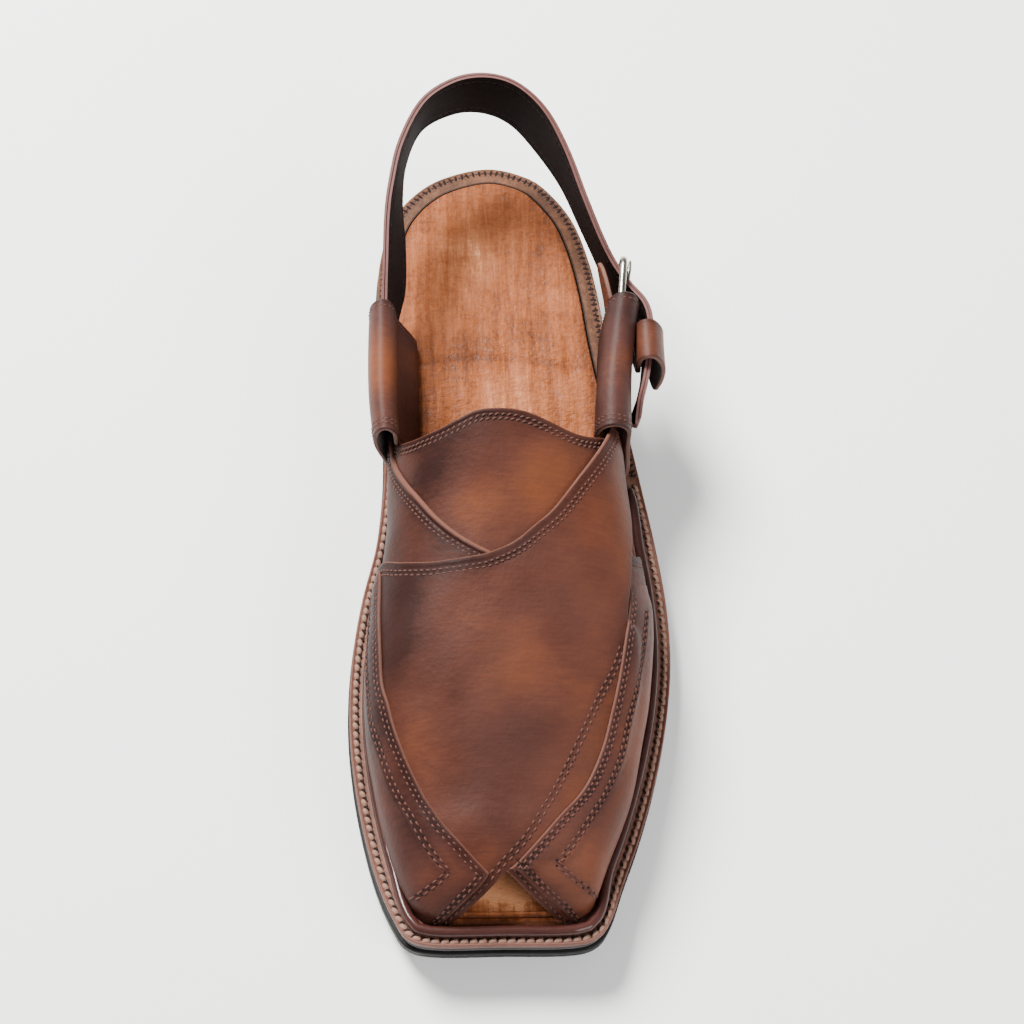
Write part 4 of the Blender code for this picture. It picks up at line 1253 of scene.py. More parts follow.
def base_line(start, end, side):
    """The upper's foot between two reaches on one side."""
    reaches = np.linspace(start, end, max(3, int(abs(end - start) / BASE_STEP)))
    return [wide_at(reach, side) for reach in reaches]


def toe_line(start, end):
    """The upper's foot across the toe between two girths, at the last's foremost row."""
    girths = np.linspace(start, end, max(3, int(abs(end - start) / BASE_STEP)))
    return np.column_stack([girths, np.full(len(girths), REACH_START)])


# girth and reach along the patterns' edges and rows: many of these points were picked by eye in the photo,
# and a scratch script worked out where they lie on the last, before some were moved by hand
TONGUE_EDGE = (
    (-44, 173.6), (-39.3, 171.7), (-33.5, 170.2), (-28.1, 169.6), (-20, 170.1), (-13.2, 172), (-6.7, 174.4),
    (-0.4, 175), (6.1, 174.9), (12.9, 173.7), (19.8, 171.5), (27.1, 169.6), (34, 169.8), (44, 172.6),
)
VAMP_REAR = (
    (46.5, 179.5), (44.2, 175.4), (34.9, 162.6), (28.8, 154.2), (20, 142), (13.1, 135.3), (6.4, 129.5),
    (-0.9, 125.9), (-6.7, 124.3), (-19.7, 123.5), (-30.8, 125.9), (-40.3, 129.7), (-52, 132.4), (-71, 135),
)
BAND_REAR = (
    (-49, 180), (-46, 175), (-38.9, 163.2), (-27.4, 150.1), (-19.5, 140.3), (-12.9, 133.6), (-6.6, 128.9),
    (-1.3, 125.9), (6, 121.5),
)
BAND_SIDE = ((50, 130.8), (54, 131.8), (60, 134.2), (78, 140.6))
VAMP_SIDE = (
    (57.5, 179), (54.4, 166), (53.2, 148), (49.4, 131.5), (47.8, 122), (46, 113.5), (44.6, 106),
)
VAMP_UNDER = (
    (44.6, 106), (46.6, 99.5), (46.4, 90), (45.6, 82), (43.2, 71), (39, 61), (32, 50), (26, 41), (19, 33.6),
    (12, 27.8), (6.4, 24), (1.6, 22.8),
)
OPENING_MEDIAL = (
    (1.6, 22.8), (-0.5, 21.6), (-3.3, 18.8), (-9.6, 12.4), (-15.4, 6.2), (-18.8, 2),
)
OPENING_LATERAL = ((-2.2, 20.6), (0.2, 22.2), (6.5, 16.4), (13.5, 9.4), (17.1, 5.4), (20, 2))
MEDIAL_INNER = (
    (-47, 129.6), (-42.6, 127), (-41.2, 121), (-39.8, 105), (-38.6, 86.9), (-36.3, 77.9), (-34.1, 69.2),
    (-31, 60.4), (-27.7, 51.8), (-23.4, 42.4), (-20, 37.1), (-15.6, 32.4), (-9.6, 26.3), (-5.2, 22.2),
)
MEDIAL_LOWER = (
    (-5.2, 22.2), (-8.1, 18.6), (-13.4, 13.6), (-17.8, 8.9), (-20.6, 5.4), (-23, 2),
)
LATERAL_INNER = (
    (47.8, 118), (46.4, 112.5), (45.1, 107.2), (43.3, 101), (42, 94.8), (39.4, 83), (36.2, 71.4),
    (33, 61.7), (27.2, 49.9), (21.4, 42), (16.3, 36.9), (9.2, 30), (3.6, 24.9), (1.4, 23.4),
)
LATERAL_LOWER = (
    (1.4, 23.4), (4.3, 22.6), (9.5, 17.9), (16.3, 12.3), (19.9, 9), (22.5, 5.2), (24.6, 2),
)
LATERAL_REAR = ((66, 125.6), (61.3, 123.8), (54.9, 121.4), (50.6, 119.4), (47.8, 118))
VAMP_ROW = (
    (42, 97.1), (39, 89), (34.6, 81), (30.2, 72.9), (25.9, 64.1), (20.8, 54.1), (14.8, 43.2), (9.8, 35.6),
    (6, 31), (0.2, 25.8), (-6.4, 19.6), (-12.6, 13.6), (-16.6, 9.6), (-20.4, 4.6),
)
MEDIAL_ROW = (
    (-48, 120), (-47.2, 97), (-43, 75.3), (-39.2, 64.3), (-34, 50.1), (-29, 39.7), (-24.2, 31), (-20, 25.8),
    (-17.8, 23.3),
)
MEDIAL_ROW_FOOT = ((-17.8, 23.3), (-20.3, 21.2), (-24.7, 18.4), (-30, 15.2))
LATERAL_ROW = (
    (55.5, 112), (52.2, 99.8), (47.6, 84), (43.2, 71.5), (40.6, 63.1), (36.8, 54.7), (31.5, 44.6),
    (25.6, 35.9), (21.1, 30.2), (18.6, 27.3), (16.2, 25.3),
)
LATERAL_ROW_FOOT = ((16.2, 25.3), (18.7, 23.4), (25.4, 19), (31, 15.4))
# the edges that other pieces hide
LINING_LATERAL = ((58, 168), (57.5, 150), (60, 147.5))
LINING_MEDIAL = ((-54, 147.5), (-50, 160), (-50, 170))
LINING_OPENING = ((21.6, REACH_START), (15, 9.6), (8, 17), (-0.4, 23.6), (-8, 16), (-14.4, 9.6),
                  (-20.2, REACH_START))
TONGUE_LATERAL = ((44, 172.6), (47, 166), (42, 152), (30, 138), (12, 118))
TONGUE_MEDIAL = ((-12, 116), (-26, 128), (-40, 148), (-48, 164), (-44, 173.6))
BAND_HIDDEN = ((-8, 26), (-20, 40), (-30, 60), (-34, 90), (-40, 112), (-60, 122))
BAND_WAIST = ((-60, 148.5), (-50, 150.5), (-51, 163.3), (-58, 177), (-58, 180))
BAND_WAIST_FRONT = 124.0
WAIST_SLIT_START = 146.5
LINING_END = 147.0
BAND_END = 141.5
MEDIAL_FACING_END = 131.5
LATERAL_FACING_END = 129.0
LINING_TRIM = 1.3
# how far inside an edge the rows of stitches run
TONGUE_ROW_IN = 3.0
BAND_ROW_IN = 3.6
BAND_SIDE_ROW_IN = 3.8
OPENING_ROW_IN = 2.0
VAMP_ROW_IN = 3.9
FACING_INNER_ROW_IN = 1.9
FACING_LOWER_ROW_IN = 2.1
FACING_RIDGE_IN = 1.5

# girth, reach, radius across, radius along, amount
BAND_TONES = ((58, 126, 14, 10, -0.45), (-44, 148, 14, 18, -0.45))
VAMP_TONES = (
    (-36, 112, 14, 18, -0.9), (-34, 92, 9, 18, -0.45), (-12, 106, 14, 14, 0.1), (8, 86, 12, 10, 0.35),
    (-4, 74, 12, 12, 0.4), (6, 66, 16, 10, -0.75), (-14, 80, 10, 12, -0.35), (20, 92, 12, 14, -0.25),
    # (49, 130, 7, 26, 0.55) paints a sheen along the vamp's lateral edge
    (36, 118, 12, 20, 0.05), (49, 130, 7, 26, 0.55), (-4, 48, 16, 14, -0.5), (0, 34, 10, 8, -0.35),
    (28, 140, 12, 12, 0.1), (-24, 62, 8, 16, 0.25),
)
TONGUE_TONES = (
    (-6, 142, 14, 10, 0.6), (14, 146, 12, 12, 0.35), (-22, 156, 12, 12, -0.7), (20, 160, 14, 9, 0.25),
    (0, 167, 20, 6, -0.35),
)
OVERLAY_TONES = (
    (-30, 30, 10, 14, -0.5), (-24, 24, 7, 7, 0.45), (-42, 85, 10, 34, -0.55), (29, 24, 12, 13, 0.45),
    (52, 60, 10, 30, 0.3), (44, 60, 8, 20, 0.25), (48, 108, 8, 16, -0.35), (60, 84, 8, 16, 0.4),
)


def add_upper(name, edges, layer, looks, **rest):
    return add_panel(name, SURFACE, join_edges(edges), layer, looks, "upper_leather", **rest)


def sew(name, layer, *rows):
    """The stitches of a piece of the upper: (line, depth below the layer's top, spacing and size) rows."""
    thread = Thread(name + "_stitches", "upper_leather", ("thread", "hole"))
    for line, sink, sizes in rows:
        thread.row(SURFACE, line, top_of(layer, sink), **sizes)
    thread.finish()


def make_lining():
    """One thin lining under the whole upper, from the toe opening to the tongue's edge."""
    trimmed = [(girth, reach - LINING_TRIM) for girth, reach in TONGUE_EDGE]
    edges = [
        curve_of(trimmed),
        [trimmed[-1], LINING_LATERAL[0]],
        curve_of(LINING_LATERAL),
        [LINING_LATERAL[-1], wide_at(LINING_END, 1)],
        base_line(LINING_END, REACH_START, 1),
        toe_line(wide_at(REACH_START, 1)[0], LINING_OPENING[0][0]),
        curve_of(LINING_OPENING),
        toe_line(LINING_OPENING[-1][0], wide_at(REACH_START, -1)[0]),
        base_line(REACH_START, LINING_END, -1),
        [wide_at(LINING_END, -1), LINING_MEDIAL[0]],
        curve_of(LINING_MEDIAL),
        [LINING_MEDIAL[-1], trimmed[0]],
    ]
    add_upper("upper_lining", edges, LINING_LAYER, ("lining", "dark_raw", "lining"), grid=3.4)


def make_tongue():
    edge = curve_of(TONGUE_EDGE)
    edges = [edge, curve_of(TONGUE_LATERAL), [TONGUE_LATERAL[-1], TONGUE_MEDIAL[0]], curve_of(TONGUE_MEDIAL)]
    row = shift_line(edge, -TONGUE_ROW_IN)
    add_upper("tongue", edges, TONGUE_LAYER, ("upper", "dark_raw", "lining"),
              grooves=[(shift_line(edge, -1.7), 0.22, 0.5), (row, 0.12, 1.3)], tone=blobs(TONGUE_TONES),
              free=edge)
    sew("tongue", TONGUE_LAYER, (row, 0.05, {"gap": 1.5, "pitch": 2.1, "length": 1.5, "slant": 0.45}))


def make_lateral_band():
    """The band under the vamp: from the lateral toe across the instep into the medial ear."""
    rear = curve_of(BAND_REAR)
    edges = [
        rear,
        curve_of([BAND_REAR[-1], (22, 125), (40, 129.6), *BAND_SIDE]),
        [BAND_SIDE[-1], wide_at(BAND_END, 1)],
        base_line(BAND_END, REACH_START, 1),
        toe_line(wide_at(REACH_START, 1)[0], OPENING_LATERAL[-1][0]),
        back_along(OPENING_LATERAL),
        curve_of([OPENING_LATERAL[0], *BAND_HIDDEN]),
        [BAND_HIDDEN[-1], wide_at(BAND_WAIST_FRONT, -1)],
        base_line(BAND_WAIST_FRONT, WAIST_SLIT_START, -1),
        curve_of([wide_at(WAIST_SLIT_START, -1), *BAND_WAIST]),
        [BAND_WAIST[-1], BAND_REAR[0]],
    ]
    rear_row = shift_line(rear, -BAND_ROW_IN)
    opening = curve_of(OPENING_LATERAL)
    side_rear = curve_of([(46, 130.4), *BAND_SIDE])
    side_row = shift_line(side_rear, -BAND_SIDE_ROW_IN)
    opening_row = shift_line(opening, OPENING_ROW_IN)
    medial_edge = curve_of(BAND_WAIST[1:4])
    grooves = [(shift_line(rear, -2.2), 0.35, 0.55), (rear_row, 0.14, 1.2), (side_row, 0.2, 0.6),
               (shift_line(side_rear, -2.4), 0.2, 0.5), (opening_row, 0.2, 0.6)]
    add_upper("lateral_band", edges, BAND_LAYER, ("upper", "raw", "lining"), grooves=grooves,
              lips=[(rear, 1.5), (opening, 0.8)], free=np.vstack([rear, opening, side_rear, medial_edge]),
              rounding=1.1, tone=blobs(BAND_TONES))
    sew("lateral_band", BAND_LAYER, (rear_row, 0.1, {"gap": 1.3, "pitch": 2.1, "length": 1.45}),
        (opening_row, 0.15, {"pitch": 2.5, "length": 1.5}), (side_row, 0.15, {"pitch": 2.4, "length": 1.6}))


def make_vamp():
    """The vamp: from the lateral ear across the instep and down to the medial side of the toe."""
    rear = curve_of(VAMP_REAR)
    edges = [
        rear,
        base_line(VAMP_REAR[-1][1], REACH_START, -1)[1:],
        toe_line(wide_at(REACH_START, -1)[0], OPENING_MEDIAL[-1][0]),
        back_along(OPENING_MEDIAL),
        back_along(VAMP_UNDER),
        back_along(VAMP_SIDE),
        [VAMP_SIDE[0], VAMP_REAR[0]],
    ]
    rear_row = shift_line(rear, VAMP_ROW_IN)
    side = curve_of(VAMP_SIDE)
    front_row = curve_of(VAMP_ROW)
    opening = curve_of(OPENING_MEDIAL)
    grooves = [(shift_line(rear, 2.3), 0.16, 0.6), (rear_row, 0.14, 1.3), (front_row, 0.16, 1.5),
               (shift_line(side, 1.3), 0.2, 0.5)]
    piece = add_upper("vamp", edges, VAMP_LAYER, ("upper", "raw", "lining"), grooves=grooves,
                      lips=[(rear, 0.55), (opening, 0.35)], tone=blobs(VAMP_TONES),
                      free=np.vstack([rear, side, opening]))
    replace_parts(piece, "upper")
    sew("vamp", VAMP_LAYER, (rear_row, 0.1, {"gap": 1.5, "pitch": 2.1, "length": 1.45}),
        (front_row, 0.12, {"gap": 1.6, "pitch": 2.7, "length": 1.8, "hole": 0.52}))


FACING_BESIDE = (101.5, 107.0)
FACING_DROP = 1.25
DROP_START = 0.5
DROP_START_BESIDE = -4.0
DROP_WIDTH = 5.0
DROP_WIDTH_BESIDE = 4.3
SKIVED_SHARE = 0.12
SKIVED_WIDTH = 9.0


def facing_layer(rear_line):
    """The facings' heights: lower where they lie on the band beside the vamp, and skived at the rear."""
    edge = np.array(VAMP_UNDER[::-1] + VAMP_SIDE[-2::-1], float)

    def layer(girth, reach):
        low, high = OVERLAY_LAYER(girth, reach)
        beyond = girth - np.interp(reach, edge[:, 1], edge[:, 0])
        beside = smooth_step(reach, *FACING_BESIDE)
        start = DROP_START + (DROP_START_BESIDE - DROP_START) * beside
        width = DROP_WIDTH + (DROP_WIDTH_BESIDE - DROP_WIDTH) * beside
        share = np.clip((beyond - start) / width, 0.0, 1.0)
        drop = FACING_DROP * smooth_step(share, 0.0, 1.0) * low / OVERLAY_LOW
        gap = distance_to(np.column_stack([girth, reach]), rear_line)
        thick = (high - low) * (SKIVED_SHARE + (1.0 - SKIVED_SHARE) * smooth_step(gap, 0.0, SKIVED_WIDTH))
        return low - drop, low - drop + thick
    return layer


def make_facing(name, inner, lower, row, foot, rear, side):
    """A shaped facing along one side of the vamp, with a double row inside its edge and another within."""
    rear_line, inner_line, lower_line, row_line, foot_line = map(curve_of, (rear, inner, lower, row, foot))
    edges = [
        rear_line,
        inner_line,
        lower_line,
        toe_line(lower[-1][0], wide_at(REACH_START, side)[0]),
        base_line(REACH_START, rear[0][1], side),
    ]
    edge_rows = [shift_line(inner_line, side * FACING_INNER_ROW_IN)[2:-2],
                 shift_line(lower_line, side * FACING_LOWER_ROW_IN)[2:-2]]
    grooves = [(line, 0.16, 1.2) for line in (*edge_rows, row_line, foot_line)]
    grooves.append((shift_line(row_line, side * FACING_RIDGE_IN), -0.14, 0.55))
    layer = facing_layer(rear_line)
    add_upper(name, edges, layer, ("overlay", "raw", "lining"), grooves=grooves,
              lips=[(inner_line, 0.38), (lower_line, 0.38)], tone=blobs(OVERLAY_TONES),
              free=np.vstack([inner_line, lower_line]))
    near_edge = {"gap": 1.25, "pitch": 2.35, "length": 1.5, "hole": 0.48}
    further_in = {"gap": 1.3, "pitch": 2.6, "length": 1.7, "hole": 0.48}
    sew(name, layer, *[(line, 0.12, near_edge) for line in edge_rows],
        *[(line, 0.0, further_in) for line in (row_line, foot_line)])


def make_facings():
    make_facing("medial_facing", MEDIAL_INNER, MEDIAL_LOWER, MEDIAL_ROW, MEDIAL_ROW_FOOT,
                [wide_at(MEDIAL_FACING_END, -1), (-56, 130.4), MEDIAL_INNER[0]], -1)
    make_facing("lateral_facing", LATERAL_INNER, LATERAL_LOWER, LATERAL_ROW, LATERAL_ROW_FOOT,
                [wide_at(LATERAL_FACING_END, 1), (72, 127.6), *LATERAL_REAR], 1)


# ---------------- ears
FOLD_DEPTH = 8.0
EAR_UPRIGHT = 1.5
EAR_THICK = 1.75
EAR_DENT = 0.15
EAR_ROWS = 90
EAR_COLUMNS = 120
# station, outer base, outer wall, ridge, inner wall, inner base, ridge height, height of the outer foot
EAR_LATERAL = (
    (174.6, 50.6, 48.2, 41.4, 35.2, 37.6, 61.5, 0), (190, 48, 49, 42.4, 36.5, 38.2, 62.2, 0),
    (206, 46, 50.4, 44.3, 38.6, 39.5, 62.6, 0), (220, 51.4, 52.4, 46.2, 40.6, 40.5, 62.6, 11.4),
    (229, 52.8, 53.8, 47.9, 42.2, 41.6, 62.4, 11.4),
)
EAR_MEDIAL = (
    (172.9, 36.2, 43, 38.7, 34, 26.2, 61.5, 0), (190, 36.3, 44.2, 39.4, 34.2, 25.8, 62.4, 0),
    (208, 36.8, 44.6, 39.6, 34.4, 25.6, 62.8, 0), (225, 37.6, 43.8, 39.2, 34.4, 26, 62.8, 0),
)


def ear_section(values, side, outer_floor, inner_floor):
    """An ear's outer surface from the outer base over the fold to the inner base, as (x, z)."""
    outer_base, outer_wall, ridge, inner_wall, inner_base, ridge_height, foot = values
    shoulder = ridge_height - FOLD_DEPTH
    rise = np.linspace(0.0, 1.0, 9)
    swing = smooth_step(rise, 0.0, 1.0)
    turn = np.linspace(0.0, math.pi / 2, 14)
    halves = []
    for base, wall, floor in ((outer_base, outer_wall, outer_floor + max(0.0, foot)),
                              (inner_base, inner_wall, inner_floor)):
        low = floor + EAR_UPRIGHT
        climb = np.column_stack([base + (wall - base) * swing, low + (shoulder - low) * rise])
        over = np.column_stack([ridge + (wall - ridge) * np.cos(turn), shoulder + FOLD_DEPTH * np.sin(turn)])
        halves.append(np.vstack([(base, floor), climb[:-1], over]))
    outer, inner = halves
    return np.vstack([outer, inner[-2::-1]]) * (side, 1.0)


def make_ear(name, table, side):
    rows = []
    for station in np.linspace(table[0][0], table[-1][0], EAR_ROWS):
        outer_floor = float(welt_level(station)) + TOUCH
        inner_floor = float(sole_rise(station)) + INSOLE_TOP + TOUCH
        section = ear_section(row_values(table, station), side, outer_floor, inner_floor)
        section = resample(section, EAR_COLUMNS)
        dent = EAR_DENT * math.sin((station - table[0][0]) * 0.16 + side)
        section[:, 0] += dent * np.sin(np.linspace(0.0, math.pi, EAR_COLUMNS)) ** 2 * side
        rows.append(np.column_stack([section[:, 0], np.full(EAR_COLUMNS, station), section[:, 1]]))
    surface = GridSurface(rows, flip=side > 0)
    # tone: slow streaks, the medial ear lighter than the lateral, and painted shade darkening each inner
    # wall
    cloud = np.sin(surface.points[:, :, 1] * 0.14 + surface.points[:, :, 2] * 0.08)
    inner_wall = smooth_step(np.linspace(0.0, 1.0, EAR_COLUMNS), 0.56, 0.66)[None, :]
    cloud = 0.22 * cloud - 0.28 * side + 0.1 - inner_wall * (0.95 if side > 0 else 0.45)
    piece = add_sheet(name + "_leather", surface, 0.0, -EAR_THICK, ("ear", "raw", "lining"),
                      name + "_leather", rounding=0.6, tone=cloud, end_grooves=((1.6, 0.14, 0.5),))
    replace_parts(piece, name)
    thread = Thread(name + "_stitches", name + "_leather", ("thread", "hole"))
    width = float(surface.width(2.0))
    for along, share in ((2.6, 0.44), (4.2, 0.44), (surface.length - 2.6, 0.4)):
        across = np.arange(width / 2 - width * share, width / 2 + width * share, 0.5)
        line = np.column_stack([across, np.full(len(across), along)])
        thread.row(surface, line, -0.02, pitch=2.2, length=1.5, radius=0.28, hole=0.3)
    thread.finish()


# ---------------- heel strap, keeper, guard and buckle
# top edge's x, station and height, then the bottom edge's
STRAP = (
    (-38.4, 210, 57.2, -35, 212, 37.4), (-38.6, 224, 58.4, -34.6, 227, 38),
    (-38.2, 239, 64, -31.4, 241, 42.4), (-37.6, 256, 69.5, -31.4, 258, 48),
    (-36, 268, 73.2, -32.4, 271, 51.8), (-32.4, 283, 77, -31, 287, 55.4),
    (-24.4, 298.4, 80.2, -24.8, 301, 58.4), (-13, 307, 81.2, -12.4, 308.4, 59.2),
    (-1, 309.4, 81.2, -0.8, 309, 59.2), (10.2, 306, 80.6, 9.6, 303.8, 58.8),
    (20.2, 296.6, 78.4, 18.8, 293, 57), (27.8, 282.4, 74.4, 28, 279.6, 53.4),
    (34.4, 265.6, 68.2, 35.4, 265.2, 47.2), (40.6, 252.2, 61.4, 42, 252.4, 40.6),
    (45.4, 244.4, 56.6, 45.8, 244.6, 35.4), (50.6, 236.4, 55.4, 50.6, 236.6, 34.2),
    (56, 228.4, 55.6, 56.4, 228.4, 34.4), (57.4, 219, 55.8, 57.4, 219, 34.6),
    (56.1, 206, 55.8, 56.1, 206, 34.6), (54.2, 196, 55.4, 53.5, 196, 34.2),
    (52.6, 190, 53, 51.2, 190, 35.8), (52, 185.5, 48.8, 50.6, 185.5, 39.6),
    (51.8, 184, 45.6, 50.9, 184, 43),
)
STRAP_THICK = 2.4
STRAP_SEAM = 2.9
STRAP_SPLIT = 0.02
STRAP_SEAM_START = 8.0
STRAP_SEAM_END = 14.0
# the keeper's mid line seen from the front, as (x, height)
KEEPER = (
    (52.5, 55.2), (54.2, 59.4), (57.8, 59.2), (61.2, 52.8), (61.6, 42.6), (59.4, 34.2), (55.6, 31.4),
    (53.2, 34.8), (53, 45),
)
KEEPER_CENTRE = (57.3, 45.0)
KEEPER_THICK = 1.8
KEEPER_RETURN = 13.0
KEEPER_FLARE = 0.35
KEEPER_HALF = 12.0
KEEPER_STATIONS = (202.6, 218.4)
FRAME_X_FRONT = 46.7
FRAME_X_REAR = 48.9
FRAME_STATIONS = (225.6, 246.6)
FRAME_HEIGHTS = (31.6, 58.0)
FRAME_CORNER = 4.0
FRAME_WIRE = 2.8
PRONG_WIRE = 1.8
PRONG_HEIGHT = 48.0
PRONG_STAND_OFF = 1.1
PRONG_LEAN = 3.9
PRONG_PAST_BAR = 4.0
PRONG_POINTS = 90
PRONG_TIP_POINTS = 10.0
PRONG_TIP_SIZE = 0.35
# station, top edge's x and height, bottom edge's x and height
GUARD = (
    (229.3, 43.6, 55.6, 43.8, 42), (236, 42.2, 56.8, 42.8, 44.5), (242, 41, 56.4, 41.6, 47),
    (246, 40.2, 54, 40.6, 50),
)
GUARD_THICK = 1.8


def strip_rows(edges, rows, columns):
    """A strip between two edges, from rows of (x, station, z) of one edge and then of the other."""
    line = resample(spline(edges, 12), rows)
    share = np.linspace(0.0, 1.0, columns)[None, :, None]
    return line[:, None, :3] * (1.0 - share) + line[:, None, 3:] * share


def make_strap():
    surface = GridSurface(strip_rows(STRAP, 340, 50), flip=True)
    half = STRAP_THICK / 2
    edges = {"rounding": 0.2, "grooves": ((STRAP_SEAM, 0.22, 0.5),)}
    wave = 0.4 * np.sin(surface.points[:, :, 0] * 0.12 + surface.points[:, :, 1] * 0.09)
    outer = add_sheet("heel_strap_outer", surface, half, STRAP_SPLIT, ("strap", "strap_raw", "lining"),
                      "strap_leather", tone=wave, **edges)
    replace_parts(outer, "heel_strap")
    inside_looks = ("strap_inside", "strap_raw", "strap_inside")
    add_sheet("heel_strap_lining", surface, -STRAP_SPLIT, -half, inside_looks, "strap_leather", **edges)
    thread = Thread("heel_strap_stitches", "strap_leather", ("strap_thread", "hole"))
    along = np.arange(STRAP_SEAM_START, surface.length - STRAP_SEAM_END, 0.8)
    for across in (np.full(len(along), STRAP_SEAM), surface.width(along) - STRAP_SEAM):
        line = np.column_stack([across, along])
        thread.row(surface, line, half - 0.2, pitch=2.6, length=1.9, radius=0.28, hole=0.3)
        thread.row(surface, line, -half + 0.16, pitch=2.6, length=1.9, radius=0.22, hole=0.0)
    thread.finish()


def make_keeper():
    loop = resample(spline(KEEPER, 12, True), 110, True)
    inward = smooth_step(-loop[:, 0], -60.5, -58.0)
    slope = KEEPER_RETURN * smooth_step(-loop[:, 1], -50.0, -34.0) * inward
    rows = []
    for station in np.linspace(*KEEPER_STATIONS, 34):
        edge = min(station - KEEPER_STATIONS[0], KEEPER_STATIONS[1] - station)
        flare = KEEPER_FLARE * math.exp(-edge / 1.6)
        grown = KEEPER_CENTRE + (loop - KEEPER_CENTRE) * (1.0 + flare / KEEPER_HALF)
        rows.append(np.column_stack([grown[:, 0], station + slope, grown[:, 1]]))
    surface = GridSurface(rows)
    half = KEEPER_THICK / 2
    outer_side = np.broadcast_to(smooth_step(loop[:, 0], 59.5, 61.5), surface.points.shape[:2])
    piece = add_sheet("keeper_loop", surface, half, -half, ("keeper", "raw", "lining"), "keeper_leather",
                      rounding=0.5, closed=True, tone=0.9 * outer_side - 0.1)
    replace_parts(piece, "keeper")


def make_guard():
    rows = [(x_top, station, z_top, x_low, station, z_low) for station, x_top, z_top, x_low, z_low in GUARD]
    piece = add_sheet("buckle_guard_flap", GridSurface(strip_rows(rows, 34, 40)), GUARD_THICK / 2,
                      -GUARD_THICK / 2, ("guard", "raw", "guard"), "guard_leather", rounding=0.5)
    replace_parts(piece, "buckle_guard")


def make_buckle():
    """The frame's wire and the prong, which turns round the front bar and lies on the rear one."""
    low, high = FRAME_HEIGHTS
    front, rear = FRAME_STATIONS
    points = []
    for station, height, start in ((rear, high, 0), (front, high, 90), (front, low, 180), (rear, low, 270)):
        centre_s = station + FRAME_CORNER * (-1.0 if station == rear else 1.0)
        centre_z = height + FRAME_CORNER * (-1.0 if height == high else 1.0)
        for angle in np.radians(np.linspace(start, start + 90.0, 12)):
            s = centre_s + FRAME_CORNER * math.cos(angle)
            share = (s - front) / (rear - front)
            points.append((FRAME_X_FRONT + (FRAME_X_REAR - FRAME_X_FRONT) * share, s,
                           centre_z + FRAME_CORNER * math.sin(angle)))
    piece = add_tube("buckle_frame_wire", resample(points, 160, True), FRAME_WIRE / 2, 18, "metal",
                     True)
    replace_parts(piece, "buckle_frame")

    eye = FRAME_WIRE / 2 + PRONG_WIRE / 2 + TOUCH
    route = []
    for angle in np.radians(np.linspace(340.0, 75.0, 16)) - math.pi / 2:
        route.append((FRAME_X_FRONT + eye * math.sin(angle), front + eye * math.cos(angle), PRONG_HEIGHT))
    for station in np.linspace(front + PRONG_PAST_BAR, rear + PRONG_PAST_BAR, 5):
        share = (station - front) / (rear - front)
        route.append((FRAME_X_FRONT + PRONG_STAND_OFF + PRONG_LEAN * share, station, PRONG_HEIGHT))
    tip = np.clip(np.arange(PRONG_POINTS)[::-1] / PRONG_TIP_POINTS, 0.0, 1.0)
    sizes = PRONG_WIRE / 2 * (PRONG_TIP_SIZE + (1.0 - PRONG_TIP_SIZE) * np.sqrt(tip))
    prong = add_tube("buckle_prong_wire", resample(spline(route, 4), PRONG_POINTS), sizes, 14, "metal")
    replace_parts(prong, "buckle_prong")


# ---------------- floor, light and camera
FLOOR_HALF = 6.0
FLOOR_GAP = 0.0002
SHOE_MIDDLE = (0.0, -0.1, 0.03)


def make_stage():
    mesh = bpy.data.meshes.new("floor")
    corners = [(x * FLOOR_HALF, y * FLOOR_HALF, 0.0) for x, y in ((-1, -1), (1, -1), (1, 1), (-1, 1))]
    mesh.from_pydata(corners, [], [(0, 1, 2, 3)])
    look = Look("floor_pale", 0.9, specular=0.1)
    look.finish(look.mix(look.noise(3.0, 2.0), (0.93, 0.93, 0.93), (0.9, 0.9, 0.9)))
    mesh.materials.append(look.made)
    floor = bpy.data.objects.new("floor", mesh)
    floor.location.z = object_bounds()[0][2] - FLOOR_GAP
    bpy.context.scene.collection.objects.link(floor)


def add_light(name, place, size, power, colour=(1.0, 1.0, 1.0)):
    light = bpy.data.lights.new(name, "AREA")
    light.shape = "DISK"
    light.size = size
    light.energy = power
    light.color = colour
    lamp = bpy.data.objects.new(name, light)
    lamp.location = place
    lamp.rotation_mode = "QUATERNION"
    lamp.rotation_quaternion = (Vector(SHOE_MIDDLE) - Vector(place)).to_track_quat("-Z", "Y")
    bpy.context.scene.collection.objects.link(lamp)


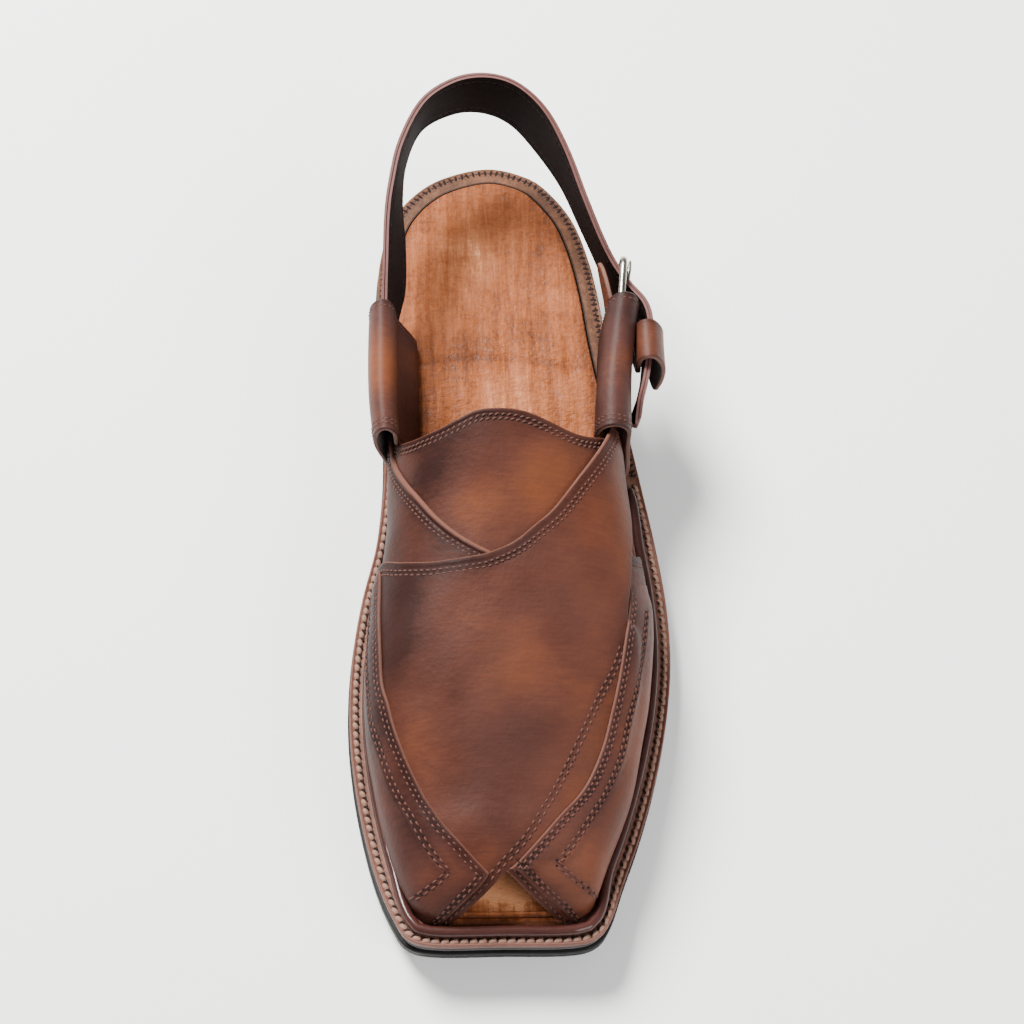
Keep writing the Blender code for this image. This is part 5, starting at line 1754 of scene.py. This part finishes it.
def make_light():
    """A soft room, brighter low down and on the right, with a key light on the left and a weak front one."""
    world = bpy.data.worlds.new("studio")
    world.use_nodes = True
    nodes = Nodes(world.node_tree)
    direction = nodes.node("ShaderNodeTexCoord").outputs["Generated"]
    split = nodes.node("ShaderNodeSeparateXYZ", {0: direction})
    strength = nodes.times(nodes.grey(split.outputs["Z"], 0.5, 0.3, 0.15, 0.85),
                           nodes.grey(split.outputs["X"], 0.65, 1.4, -1.0, 1.0))
    background = nodes.tree.nodes["Background"]
    nodes.feed(background.inputs["Strength"], strength)
    nodes.feed(background.inputs["Color"], (1.0, 0.99, 0.975, 1.0))
    bpy.context.scene.world = world
    add_light("key", (-0.62, 0.72, 1.25), 0.7, 112.0, (1.0, 0.98, 0.95))
    add_light("front", (0.78, -0.95, 0.95), 1.0, 20.0)


CAMERA_PLACE = (-0.052, -0.495, 0.81)
CAMERA_ELEVATION = math.radians(63.6)
CAMERA_TURN = math.radians(3.87)
CAMERA_LENS = 85.9
CAMERA_SENSOR = 36.0


def make_camera():
    """The photograph's viewpoint, turned sideways only so far that the one shoe is in the middle."""
    forward = Vector((0.0, math.cos(CAMERA_ELEVATION), -math.sin(CAMERA_ELEVATION)))
    right = Vector((1.0, 0.0, 0.0))
    up = right.cross(forward)
    turned_forward = forward * math.cos(CAMERA_TURN) + right * math.sin(CAMERA_TURN)
    turned_right = right * math.cos(CAMERA_TURN) - forward * math.sin(CAMERA_TURN)
    data = bpy.data.cameras.new("camera")
    data.lens = CAMERA_LENS
    data.sensor_width = CAMERA_SENSOR
    camera = bpy.data.objects.new("camera", data)
    camera.rotation_mode = "QUATERNION"
    camera.rotation_quaternion = Matrix((turned_right, up, -turned_forward)).transposed().to_quaternion()
    camera.location = CAMERA_PLACE
    bpy.context.scene.collection.objects.link(camera)
    bpy.context.scene.camera = camera


make_layers()
make_heel()
make_welt()
make_insole()
make_rand()
make_lining()
make_tongue()
make_lateral_band()
make_vamp()
make_facings()
make_ear("ear_lateral", EAR_LATERAL, 1.0)
make_ear("ear_medial", EAR_MEDIAL, -1.0)
make_strap()
make_keeper()
make_guard()
make_buckle()
make_stage()
make_light()
make_camera()
